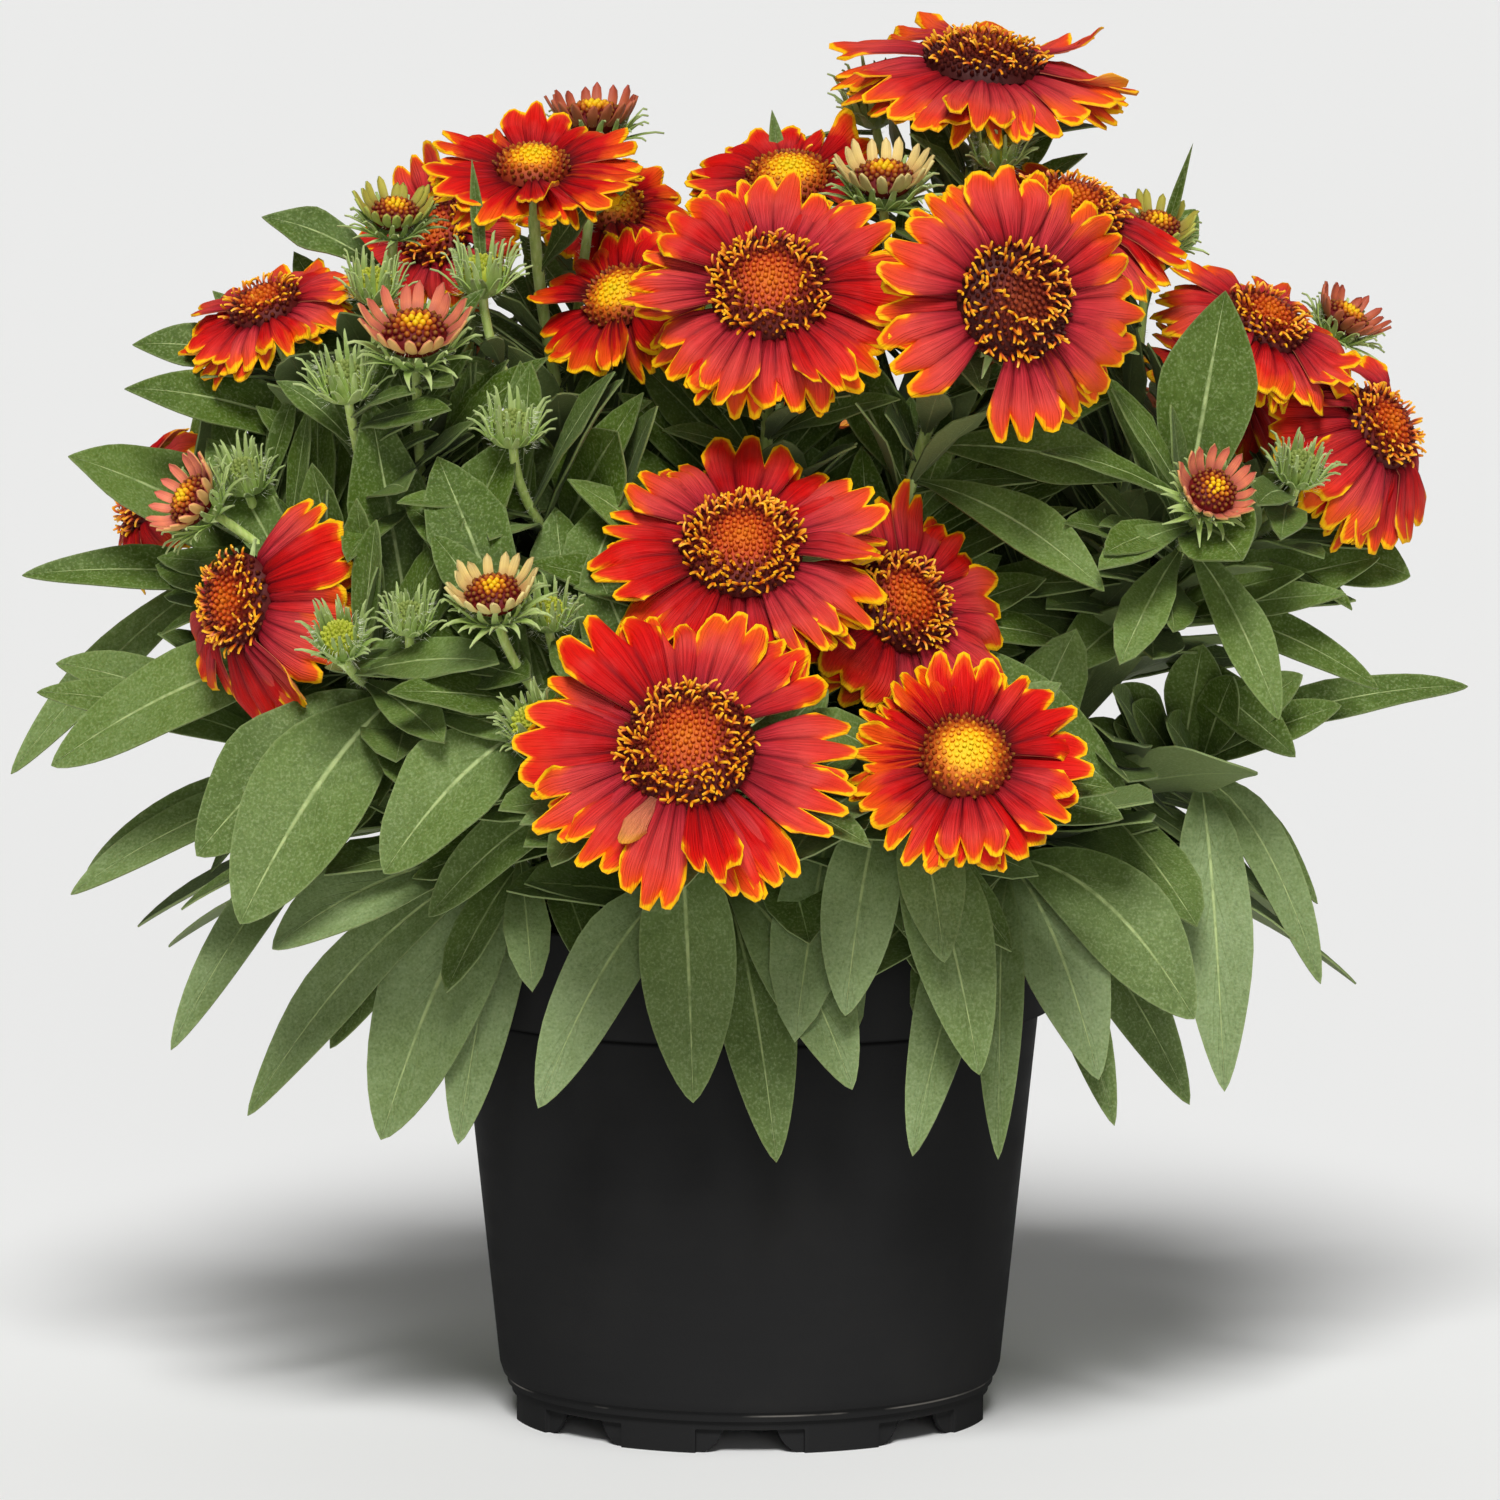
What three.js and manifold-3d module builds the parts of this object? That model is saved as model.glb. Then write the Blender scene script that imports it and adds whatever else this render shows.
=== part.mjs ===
// A blanket flower plant (Gaillardia) in a round black nursery pot.
// Millimetres, +Z up, origin at the middle of the pot's foot, front towards -Y.
import * as THREE from 'three';
import { mergeVertices } from 'three/addons/utils/BufferGeometryUtils.js';
import Module from 'manifold-3d';

const wasm = await Module();
wasm.setup();

const DEG = Math.PI / 180;

// Gap left between two pieces that rest on each other.
const GAP = 0.3;

// Pot: a two-litre nursery pot.
const POT_SIDES = 24;
const RIM_TOP_Z = 142;
const RIM_BOTTOM_Z = 114;
const RIM_TOP_RADIUS = 85;
const RIM_BOTTOM_RADIUS = 84;
const RIM_WALL = 2.2;
const BODY_TOP_RADIUS = 79.6;
const BODY_FOOT_RADIUS = 69;
const BODY_FOOT_Z = 11.5;
const BODY_WALL = 1.8;
const FOOT_RADIUS = 66;
const FOOT_TOP_Z = 10;
const FOOT_WALL = 2.4;
const FLOOR_TOP_Z = 9;
const FLOOR_BOTTOM_Z = 7;
const STEP_INSIDE_Z = 111;

// Notches cut in the pot's foot.
const NOTCH_COUNT = 8;
const NOTCH_HEIGHT = 6.4;
const NOTCH_TOP_WIDTH = 12;
const NOTCH_FOOT_WIDTH = 22;
const NOTCH_DEPTH = 12;

// Soil.
const SOIL_TOP_Z = 127;
const SOIL_CRUMB = 1.6;
const SOIL_RINGS = [0, 0.4, 0.72];
const SOIL_SIDES = 16;
const SOIL_FLARE = 2;
const HOLE_SIDES = 6;

// Stems.
const STEM_RADIUS = 1.75;
const BRANCH_RADIUS = 1.7;
const STEM_SIDES = 4;
const BRANCH_SIDES = 3;
const STEM_STEPS = 5;
const BRANCH_STEPS = 3;
const STEM_ROOT_Z = 115;
const STEM_BEND_Z = 130;
const ROOT_SPREAD = 0.3;
const STEM_REACH = 0.35;
const STEM_LEAN = 0.2;
const STEM_LIFT = 0.35;

// Ray petals: the shares of a ray's half sector and length where its outline turns.
const RAY_THICKNESS = 0.8;
const RAY_OUTLINE = [[-0.88, 0.92], [-0.34, 0.82], [0, 1], [0.34, 0.82], [0.88, 0.92]];
const RAY_FURROW = 0.8;
const RAY_LAYER = 4;
const RAY_SWAY = 6;
const RAY_REACH = [0.93, 1.03];
const PLATE_MARGIN = 0.6;

// Discs: each ring's shares of the disc's radius and height, and how far every other corner
// stands up and out, as shares of the height and radius.
const DISC_SIDES = 8;
const DISC_RINGS = [[0.86, 0, 0, 0], [0.93, 0.42, 0.12, 0.07], [0.66, 0.82, 0.1, 0.05]];

// Cups of bracts under the blooms.
const CUP_BRACTS = 6;
const CUP_DEPTH = 8;
const CUP_REACH = 0.12;
const CUP_NOTCH = 0.66;
const CUP_TIP_DROP = 1;
const CUP_SEAT = 2;
const HUB_RADIUS = 3.2;
const HUB_SIDES = 4;

// Buds: each ring's radius, height, lift and spread of every other corner, as shares of the
// bud's radius, then the height of the middle.
const BUD_SIDES = 8;
const BUD_SEAT = 0.3;
const CLOSED_BUD_RINGS = [[0.3, -0.55, 0, 0], [0.85, 0.05, 0.22, 0.32], [0.52, 0.5, -0.26, -0.14]];
const CLOSED_BUD_TOP = 0.5;
const HALF_BUD_RINGS = [
  [0.3, -0.65, 0, 0], [0.85, -0.25, 0.12, 0.3], [0.86, 0.34, -0.26, -0.14], [0.5, 0.15, 0, 0],
];
const HALF_BUD_TOP = 0.4;

// Leaves: where along the blade its width is set, and the share of the full width there.
const LEAF_STATIONS = [[0, 0.1], [0.42, 0.84], [0.78, 0.84]];
const SMALL_LEAF_STATIONS = [[0, 0.1], [0.6, 1]];
const SMALL_LEAF_WIDTH = 17;
const LEAF_ROOT_WIDTH = 1.4;
const LEAF_THICKNESS = 1.6;
const LEAF_CLEARANCE = 0.5;
const LEAF_ROOT_ZONE = 6;

// Turns tried in order until a leaf is clear: about the vertical, then up or down, in degrees.
const LEAF_TURNS = [
  [0, 0], [0, 5], [0, -5], [6, 0], [-6, 0], [6, 6], [-6, 6], [6, -6], [-6, -6],
  [0, 11], [0, -11], [12, 0], [-12, 0], [12, 9], [-12, 9], [12, -9], [-12, -9],
  [20, 0], [-20, 0], [20, 12], [-20, 12], [20, -12], [-20, -12], [0, 18], [0, -18],
];
const LEAF_SIZES = [1, 0.86, 0.72, 0.6];

// Which way a leaf turns its upper face: to the front and up, or outwards and up.
const FRONT_LOOK = new THREE.Vector3(0, -0.8, 0.6);
const OUTWARD_LOOK = 0.75;

// Distance between two leaves' places along a stem.
const NODE_SPACING = 5;

// Colours and finishes.
const POT_BLACK = new THREE.MeshStandardMaterial({ color: 0x26272a, roughness: 0.5, metalness: 0 });
const SOIL_BROWN = new THREE.MeshStandardMaterial({ color: 0x2e2118, roughness: 1, metalness: 0 });
const RAY_RED = new THREE.MeshStandardMaterial({ color: 0xdf4a2e, roughness: 0.7, metalness: 0 });
const DISC_MAROON = new THREE.MeshStandardMaterial({ color: 0x8a2a12, roughness: 0.85, metalness: 0 });
const LEAF_GREEN = new THREE.MeshStandardMaterial({ color: 0x6c7f45, roughness: 0.75, metalness: 0 });

// Open blooms: name, x, y, z, radius, tilt of the face above level, its turn from the front
// towards +X, number of rays, droop of the rays, disc radius, disc height, stem, place of the
// fork on that stem (0 is the stem's own end), rays that are missing.
const BLOOMS = [
  ['01', 64, 10, 371, 46, 75, 20, 13, 10, 18, 9, 1, 0, []],
  ['02', -59, -15, 344, 31, 65, 0, 12, -4, 11, 7, 2, 0, []],
  ['03', 5, -75, 315, 39, 35, 0, 13, 4, 17, 8, 3, 0, []],
  ['04', 69, -95, 313, 39, 10, 20, 12, 14, 17, 9, 4, 0, [8]],
  ['05', 86, -25, 332, 37, 62, 30, 12, 22, 16, 9, 4, 0.45, [4]],
  ['06', -2, -98, 248, 42, 45, 0, 13, 8, 17.5, 8, 5, 0, []],
  ['07', 40, -75, 231, 36, 30, 30, 11, 8, 15, 8, 5, 0.35, []],
  ['08', -16, -150, 201, 47.5, 35, -5, 14, 6, 19, 9, 6, 0, [1]],
  ['09', 56, -138, 197, 33, 35, 5, 12, 2, 13, 8, 5, 0.2, []],
  ['10', -136, -60, 231, 40, 5, -50, 12, 32, 14, 8, 7, 0, [3, 4, 5]],
  ['11', -132, -10, 306, 27, 60, -40, 10, 12, 11, 6, 8, 0, []],
  ['12', 11, 0, 340, 30, 60, 0, 10, 4, 13, 7, 3, 0.4, []],
  ['13', 140, -5, 301, 32, 55, 40, 11, 14, 13, 8, 9, 0, []],
  ['14', 172, 0, 272, 38, 30, 50, 11, 38, 13, 8, 10, 0, [3]],
  ['15', -35, -30, 310, 27, 40, -30, 10, 8, 11, 6, 11, 0, []],
  ['16', -168, 35, 250, 27, 20, -70, 9, 26, 11, 6, 7, 0.45, []],
  ['17', -87, 50, 323, 26, 30, -20, 9, 10, 11, 6, 8, 0.3, []],
  ['18', -39, 48, 330, 25, 50, 10, 9, 8, 10, 6, 2, 0.35, []],
  ['19', 133, 45, 283, 27, 40, 50, 9, 16, 11, 6, 9, 0.4, []],
  ['20', -100, 105, 280, 36, 50, 215, 11, 8, 15, 8, 12, 0, []],
  ['21', -4, 149, 250, 42, 40, 180, 11, 8, 17, 8, 13, 0, []],
  ['22', 96, 112, 278, 38, 50, 145, 11, 12, 16, 8, 14, 0, []],
];

// Buds: kind, x, y, z, radius, tilt, turn, stem, fork.
const BUDS = [
  ['half', -43, 28, 356, 12, 80, 0, 2, 0.6],
  ['half', -97, 0, 331, 10, 65, 10, 8, 0.55],
  ['half', -89, -70, 303, 13, 60, 0, 8, 0.35],
  ['half', 36, -30, 342, 12, 70, 0, 1, 0.55],
  ['half', -150, -40, 256, 11, 30, -60, 7, 0.6],
  ['half', -67, -120, 238, 11, 60, -10, 6, 0.35],
  ['half', 123, -70, 261, 10, 35, 20, 10, 0.4],
  ['half', 112, 20, 326, 10, 60, 20, 9, 0.5],
  ['half', 165, 35, 300, 10, 55, 60, 10, 0.65],
  ['closed', -72, -40, 317, 10, 80, 0, 11, 0.4],
  ['closed', -102, -20, 313, 9, 80, 0, 8, 0.62],
  ['closed', -108, -62, 290, 10, 70, -20, 8, 0.45],
  ['closed', -63, -80, 279, 9, 70, 0, 11, 0.3],
  ['closed', 67, -14, 349, 8.5, 70, 10, 1, 0.65],
  ['closed', 34, 30, 360, 11, 75, -20, 1, 0.72],
  ['closed', -137, -30, 262, 9, 60, -20, 7, 0.6],
  ['closed', -108, -103, 225, 9, 45, -10, 7, 0.5],
  ['closed', -90, -97, 230, 8, 65, 0, 7, 0.42],
  ['closed', -53, -105, 232, 8, 65, 0, 6, 0.45],
  ['closed', -57, -127, 205, 9, 45, -20, 6, 0.55],
  ['closed', 149, -30, 264, 9, 60, 20, 10, 0.7],
];

// Leafy side shoots without a flower: x, y, z of the tip, stem, fork.
const SHOOTS = [
  [-125, 15, 176, 7, 0.18],
  [-66, -74, 163, 7, 0.14],
  [128, -8, 178, 10, 0.2],
  [74, -70, 160, 10, 0.1],
  [-70, 80, 168, 12, 0.2],
  [72, 82, 168, 14, 0.2],
];

// Leaves placed one by one: x, y, z near the root, x, y, z of the tip, width, arch.
const LEAVES = [
  [-116, 20, 317, -134, 10, 330, 12, 6],
  [-139, 10, 285, -169, 0, 300, 13, 6],
  [-115, -10, 261, -170, -20, 285, 17, 10],
  [-140, 0, 228, -186, -12, 266, 25, 8],
  [-150, 0, 208, -200, 2, 232, 13, 8],
  [-158, -5, 201, -190, -10, 209, 15, 10],
  [-158, 20, 191, -200, 10, 202, 13, 10],
  [-160, 30, 189, -205, 20, 175, 13, 14],
  [-127, -40, 191, -192, -30, 182, 22, 14],
  [-141, -20, 167, -185, 0, 156, 13, 14],
  [-141, 0, 151, -187, 20, 145, 13, 14],
  [-74, -70, 205, -151, -80, 170, 28, 16],
  [-68, -85, 199, -135, -100, 149, 30, 16],
  [-65, -95, 197, -96, -120, 165, 25, 14],
  [-86, -80, 164, -127, -90, 141, 20, 14],
  [-131, -40, 137, -158, -30, 105, 13, 20],
  [-97, -55, 136, -136, -50, 90, 17, 26],
  [-72, -75, 148, -111, -80, 95, 29, 26],
  [-73, -70, 124, -92, -70, 90, 18, 30],
  [-95, -55, 141, -118, -60, 115, 15, 22],
  [-55, -90, 168, -85, -100, 151, 15, 14],
  [-48, -85, 159, -15, -112, 103, 24, 26],
  [-40, -92, 133, -56, -108, 101, 19, 26],
  [-51, -80, 158, -58, -100, 143, 12, 12],
  [-8, -88, 151, 27, -115, 107, 21, 24],
  [21, -98, 130, 7, -105, 86, 19, 30],
  [32, -95, 163, 25, -118, 127, 19, 20],
  [48, -90, 154, 56, -114, 109, 21, 24],
  [56, -85, 145, 43, -107, 88, 16, 30],
  [73, -72, 136, 66, -94, 85, 12, 30],
  [45, -100, 155, 51, -124, 142, 16, 16],
  [121, -50, 187, 129, -40, 95, 19, 30],
  [95, -65, 173, 119, -75, 120, 25, 24],
  [79, -75, 162, 93, -88, 109, 22, 26],
  [83, -60, 134, 98, -68, 90, 13, 26],
  [103, -45, 130, 119, -50, 93, 17, 24],
  [129, -30, 192, 166, -20, 130, 13, 30],
  [137, 0, 170, 157, 10, 140, 9, 20],
  [150, -10, 184, 205, 4, 184, 12, 12],
  [151, 0, 203, 182, 10, 231, 22, 8],
  [142, -20, 197, 172, -10, 202, 12, 10],
  [92, -66, 230, 128, -80, 247, 21, 8],
  [64, -60, 250, 94, -85, 236, 15, 10],
  [94, -60, 226, 142, -60, 199, 13, 12],
  [115, -35, 267, 128, -40, 313, 25, 4],
  [100, 42, 312, 124, 48, 330, 12, 4],
  [103, 20, 312, 107, 30, 332, 11, 3],
  [168, 5, 240, 194, 10, 262, 14, 6],
  [57, -90, 157, 98, -115, 179, 17, 8],
  [83, -70, 205, 110, -85, 190, 19, 12],
  [-81, -60, 229, -102, -60, 286, 21, 4],
  [-55, -75, 229, -35, -80, 278, 26, 4],
  [-67, -70, 240, -72, -70, 271, 17, 4],
  [-22, -60, 272, -14, -55, 289, 10, 3],
  [-118, -30, 256, -134, -28, 288, 6, 3],
  [-57, -20, 312, -47, -25, 343, 10, 3],
  [-36, 20, 326, -31, 20, 345, 9, 3],
  [35, -60, 264, 36, -70, 282, 13, 3],
  [21, -50, 269, 40, -70, 286, 8, 4],
  [-50, -100, 225, -42, -112, 212, 12, 6],
  [31, -110, 202, 47, -120, 199, 11, 6],
  [66, 22, 334, 84, 26, 352, 12, 3],
  [48, 16, 335, 44, 22, 358, 11, 3],
  [67, -50, 265, 104, -60, 264, 17, 6],
];

// Leaves placed by rule: low ones round the back that hang over the rim, and a spiral up each stem.
const BACK_LEAVES = 15;
const BACK_FIRST_ANGLE = -12;
const BACK_LAST_ANGLE = 192;
const BACK_ROOT_RADIUS = 70;
const BACK_ROOT_Z = 150;
const BACK_TIP_RADIUS = [150, 178];
const BACK_TIP_Z = [96, 150];
const BACK_WIDTH = [20, 28];
const BACK_ARCH = 24;
const SPIRAL_PLACES = [0.2, 0.4, 0.62];
const SPIRAL_TURN = 137.5;
const SPIRAL_STEM_TURN = 71;
const SPIRAL_LENGTH = [88, 50];
const SPIRAL_WIDTH = [26, 18];
const SPIRAL_RISE = [14, 50];
const SPIRAL_SPREAD = [0.85, 1.1];
const SPIRAL_ARCH = 0.12;

// ---------------------------------------------------------------- small helpers

// A repeatable number from 0 to 1 for each whole number.
function scatter(key) {
  const wave = Math.sin(key * 12.9898) * 43758.5453;
  return wave - Math.floor(wave);
}

function mix(from, to, share) {
  return from + (to - from) * share;
}

function geometryOf(points, faces) {
  const geometry = new THREE.BufferGeometry();
  const numbers = points.flatMap((p) => [p.x, p.y, p.z]);
  geometry.setAttribute('position', new THREE.Float32BufferAttribute(numbers, 3));
  geometry.setIndex(faces.flat());
  return geometry;
}

function solidFrom(geometry) {
  const bare = geometry.clone();
  bare.deleteAttribute('normal');
  bare.deleteAttribute('uv');
  const merged = mergeVertices(bare, 1e-4);
  return new wasm.Manifold(new wasm.Mesh({
    numProp: 3,
    vertProperties: new Float32Array(merged.attributes.position.array),
    triVerts: new Uint32Array(merged.index.array),
  }));
}

function geometryFrom(solid) {
  const mesh = solid.getMesh();
  const geometry = new THREE.BufferGeometry();
  geometry.setAttribute('position', new THREE.BufferAttribute(new Float32Array(mesh.vertProperties), 3));
  geometry.setIndex(new THREE.BufferAttribute(new Uint32Array(mesh.triVerts), 1));
  return geometry;
}

function fuse(solids) {
  return solids.reduce((whole, piece) => whole.add(piece));
}

// The frame of a flower head: z along its face's normal, x level and to the right of the face.
function headFrame(x, y, z, tilt, turn) {
  const e = tilt * DEG;
  const a = turn * DEG;
  const right = new THREE.Vector3(Math.cos(a), Math.sin(a), 0);
  const rise = new THREE.Vector3(-Math.sin(e) * Math.sin(a), Math.sin(e) * Math.cos(a), Math.cos(e));
  const normal = new THREE.Vector3(Math.cos(e) * Math.sin(a), -Math.cos(e) * Math.cos(a), Math.sin(e));
  const frame = new THREE.Matrix4().makeBasis(right, rise, normal);
  frame.setPosition(x, y, z);
  return { frame, normal, centre: new THREE.Vector3(x, y, z) };
}

// Stacked rings closed by a fan below and a point above.
function domeGeometry(rings, apexZ, sides) {
  const points = [];
  const faces = [];
  rings.forEach(([radius, z, lift, spread]) => {
    for (let side = 0; side < sides; side += 1) {
      const sign = side % 2 === 0 ? 1 : -1;
      const angle = (side * 2 * Math.PI) / sides;
      const r = radius + sign * spread;
      points.push(new THREE.Vector3(r * Math.cos(angle), r * Math.sin(angle), z + sign * lift));
    }
  });
  const apex = points.length;
  points.push(new THREE.Vector3(0, 0, apexZ));
  for (let side = 1; side < sides - 1; side += 1) {
    faces.push([0, side + 1, side]);
  }
  for (let ring = 0; ring < rings.length; ring += 1) {
    for (let side = 0; side < sides; side += 1) {
      const a = ring * sides + side;
      const b = ring * sides + ((side + 1) % sides);
      if (ring === rings.length - 1) {
        faces.push([a, b, apex]);
      } else {
        faces.push([a, b, b + sides], [a, b + sides, a + sides]);
      }
    }
  }
  return geometryOf(points, faces);
}

// A pointed star that rises to one point above and narrows to a small flat hub below.
function starGeometry(count, tipRadius, tipZ, notchRadius, notchZ, topZ, bottomZ) {
  const points = [new THREE.Vector3(0, 0, topZ)];
  const faces = [];
  for (let corner = 0; corner < HUB_SIDES; corner += 1) {
    const angle = ((corner + 0.5) * 2 * Math.PI) / HUB_SIDES;
    points.push(new THREE.Vector3(HUB_RADIUS * Math.cos(angle), HUB_RADIUS * Math.sin(angle), bottomZ));
  }
  const first = points.length;
  const span = (2 * count) / HUB_SIDES;
  for (let step = 0; step < 2 * count; step += 1) {
    const angle = (step * Math.PI) / count;
    const radius = step % 2 === 0 ? tipRadius : notchRadius;
    const z = step % 2 === 0 ? tipZ : notchZ;
    points.push(new THREE.Vector3(radius * Math.cos(angle), radius * Math.sin(angle), z));
    const here = first + step;
    const next = first + ((step + 1) % (2 * count));
    const corner = 1 + Math.floor(step / span);
    faces.push([0, here, next], [corner, next, here]);
    if (step % span === 0) {
      faces.push([here, 1 + ((corner + HUB_SIDES - 2) % HUB_SIDES), corner]);
    }
  }
  faces.push([1, 3, 2], [1, 4, 3]);
  return geometryOf(points, faces);
}

// ---------------------------------------------------------------- pot and soil

function potGeometry() {
  const profile = [
    [0, FLOOR_BOTTOM_Z],
    [FOOT_RADIUS - FOOT_WALL, FLOOR_BOTTOM_Z],
    [FOOT_RADIUS - FOOT_WALL, 0],
    [FOOT_RADIUS, 0],
    [FOOT_RADIUS, FOOT_TOP_Z],
    [BODY_FOOT_RADIUS, BODY_FOOT_Z],
    [BODY_TOP_RADIUS, RIM_BOTTOM_Z],
    [RIM_BOTTOM_RADIUS, RIM_BOTTOM_Z],
    [RIM_TOP_RADIUS, RIM_TOP_Z],
    [RIM_TOP_RADIUS - RIM_WALL, RIM_TOP_Z],
    [RIM_BOTTOM_RADIUS - RIM_WALL, RIM_BOTTOM_Z + RIM_WALL],
    [BODY_TOP_RADIUS - BODY_WALL, STEP_INSIDE_Z],
    [BODY_FOOT_RADIUS - BODY_WALL, FLOOR_TOP_Z],
    [0, FLOOR_TOP_Z],
  ];
  const lathe = new THREE.LatheGeometry(profile.map(([r, z]) => new THREE.Vector2(r, z)), POT_SIDES);
  lathe.rotateX(Math.PI / 2);
  let pot = solidFrom(lathe);
  const arch = new THREE.Shape([
    new THREE.Vector2(-NOTCH_FOOT_WIDTH / 2, -1),
    new THREE.Vector2(NOTCH_FOOT_WIDTH / 2, -1),
    new THREE.Vector2(NOTCH_TOP_WIDTH / 2, NOTCH_HEIGHT),
    new THREE.Vector2(-NOTCH_TOP_WIDTH / 2, NOTCH_HEIGHT),
  ]);
  for (let notch = 0; notch < NOTCH_COUNT; notch += 1) {
    const cutter = new THREE.ExtrudeGeometry(arch, { depth: NOTCH_DEPTH, bevelEnabled: false });
    cutter.rotateX(Math.PI / 2);
    cutter.translate(0, -FOOT_RADIUS + NOTCH_DEPTH / 2, 0);
    cutter.rotateZ((notch * 2 * Math.PI) / NOTCH_COUNT);
    pot = pot.subtract(solidFrom(cutter));
  }
  return geometryFrom(pot);
}

// Inside radius of the pot's body wall at a height.
function potInside(z) {
  const share = (z - FLOOR_TOP_Z) / (STEP_INSIDE_Z - FLOOR_TOP_Z);
  return mix(BODY_FOOT_RADIUS, BODY_TOP_RADIUS, share) - BODY_WALL;
}

function soilGeometry(stems) {
  const bottomZ = FLOOR_TOP_Z + GAP;
  const shrink = 1 / Math.cos(Math.PI / SOIL_SIDES);
  const neckRadius = potInside(STEP_INSIDE_Z) - 2 * GAP;
  const topRadius = neckRadius + SOIL_FLARE;
  const points = [new THREE.Vector3(0, 0, bottomZ)];
  const faces = [];
  const rings = [
    [potInside(bottomZ) - 2 * GAP, bottomZ],
    [neckRadius, STEP_INSIDE_Z],
    [topRadius, SOIL_TOP_Z],
  ];
  for (let ring = SOIL_RINGS.length - 1; ring > 0; ring -= 1) {
    rings.push([topRadius * SOIL_RINGS[ring], SOIL_TOP_Z]);
  }
  rings.forEach(([radius, z], ring) => {
    for (let side = 0; side < SOIL_SIDES; side += 1) {
      const angle = (side * 2 * Math.PI) / SOIL_SIDES;
      const crumb = ring < 2 ? 0 : SOIL_CRUMB * scatter(ring * 50 + side);
      const r = radius / shrink;
      points.push(new THREE.Vector3(r * Math.cos(angle), r * Math.sin(angle), z + crumb));
    }
  });
  const apex = points.length;
  points.push(new THREE.Vector3(0, 0, SOIL_TOP_Z + SOIL_CRUMB));
  for (let side = 0; side < SOIL_SIDES; side += 1) {
    const next = (side + 1) % SOIL_SIDES;
    faces.push([0, 1 + next, 1 + side]);
    for (let ring = 0; ring < rings.length - 1; ring += 1) {
      const a = 1 + ring * SOIL_SIDES + side;
      const b = 1 + ring * SOIL_SIDES + next;
      faces.push([a, b, b + SOIL_SIDES], [a, b + SOIL_SIDES, a + SOIL_SIDES]);
    }
    const last = 1 + (rings.length - 1) * SOIL_SIDES;
    faces.push([last + side, last + next, apex]);
  }
  let soil = solidFrom(geometryOf(points, faces));
  const holeRadius = STEM_RADIUS + 2 * GAP;
  const holeHeight = 2 * (SOIL_TOP_Z - STEM_ROOT_Z);
  stems.forEach((stem) => {
    const hole = new THREE.CylinderGeometry(holeRadius, holeRadius, holeHeight, HOLE_SIDES);
    hole.rotateX(Math.PI / 2);
    hole.translate(stem.root.x, stem.root.y, STEM_ROOT_Z - GAP + holeHeight / 2);
    soil = soil.subtract(solidFrom(hole));
  });
  return geometryFrom(soil);
}

// ---------------------------------------------------------------- flower heads

// One thin sheet cut almost to its middle into rays with three teeth each.
function raysGeometry(bloom) {
  const { key, radius, rays, droop, discRadius, missing } = bloom;
  const plateRadius = discRadius + PLATE_MARGIN;
  const half = Math.PI / rays;
  const points = [new THREE.Vector3(0, 0, 0)];
  const faces = [];
  const rim = [];
  const roots = [];
  for (let ray = 0; ray < rays; ray += 1) {
    const angle = (2 * ray - 1) * half;
    roots.push(points.length);
    points.push(new THREE.Vector3(plateRadius * Math.cos(angle), plateRadius * Math.sin(angle), 0));
  }
  for (let ray = 0; ray < rays; ray += 1) {
    const start = roots[ray];
    const end = roots[(ray + 1) % rays];
    faces.push([0, start, end]);
    rim.push(start);
    if (missing.includes(ray)) continue;
    const layer = ray % 2 === 0 ? RAY_LAYER : -RAY_LAYER;
    const slope = (droop + layer + RAY_SWAY * (scatter(key * 31 + ray) - 0.5)) * DEG;
    const reach = radius * mix(...RAY_REACH, scatter(key * 57 + ray)) - plateRadius;
    const first = points.length;
    RAY_OUTLINE.forEach(([turn, share], corner) => {
      const along = share * (plateRadius + reach) - plateRadius;
      const r = plateRadius + along * Math.cos(slope);
      const angle = (2 * ray + turn) * half;
      const furrow = corner % 2 === 1 ? RAY_FURROW : 0;
      const z = -along * Math.sin(slope) - furrow;
      points.push(new THREE.Vector3(r * Math.cos(angle), r * Math.sin(angle), z));
      rim.push(first + corner);
    });
    const [toothA, notchA, toothB, notchB, toothC] = [0, 1, 2, 3, 4].map((n) => first + n);
    faces.push([start, toothA, notchA], [start, notchA, notchB], [start, notchB, end]);
    faces.push([notchA, toothB, notchB], [end, notchB, toothC]);
  }
  const thickness = RAY_THICKNESS / Math.cos(droop * DEG);
  const count = points.length;
  const both = [...points, ...points.map((p) => p.clone().setZ(p.z - thickness))];
  const under = faces.map(([a, b, c]) => [a + count, c + count, b + count]);
  const walls = rim.flatMap((p, place) => {
    const q = rim[(place + 1) % rim.length];
    return [[p + count, q + count, q], [p + count, q, p]];
  });
  return geometryOf(both, [...faces, ...under, ...walls]);
}

// A dome whose rings of florets stand out in turn.
function discGeometry({ discRadius, discHeight }) {
  const rings = DISC_RINGS.map(([radius, z, lift, spread]) => (
    [radius * discRadius, GAP + z * discHeight, lift * discHeight, spread * discRadius]));
  return domeGeometry(rings, GAP + discHeight, DISC_SIDES);
}

// The green cup of bracts under a bloom.
function cupGeometry({ radius, droop, discRadius }) {
  const plateRadius = discRadius + PLATE_MARGIN;
  const thickness = RAY_THICKNESS / Math.cos(droop * DEG);
  const top = -thickness - GAP;
  const steepest = Math.max(0, droop + RAY_LAYER + RAY_SWAY) * DEG;
  const reach = radius * CUP_REACH;
  const tipRadius = plateRadius + reach * Math.cos(steepest);
  const tipZ = top - reach * Math.sin(steepest) - CUP_TIP_DROP;
  const notchZ = top - 2 * CUP_TIP_DROP;
  return starGeometry(CUP_BRACTS, tipRadius, tipZ, plateRadius * CUP_NOTCH, notchZ, top, top - CUP_DEPTH);
}

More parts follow.
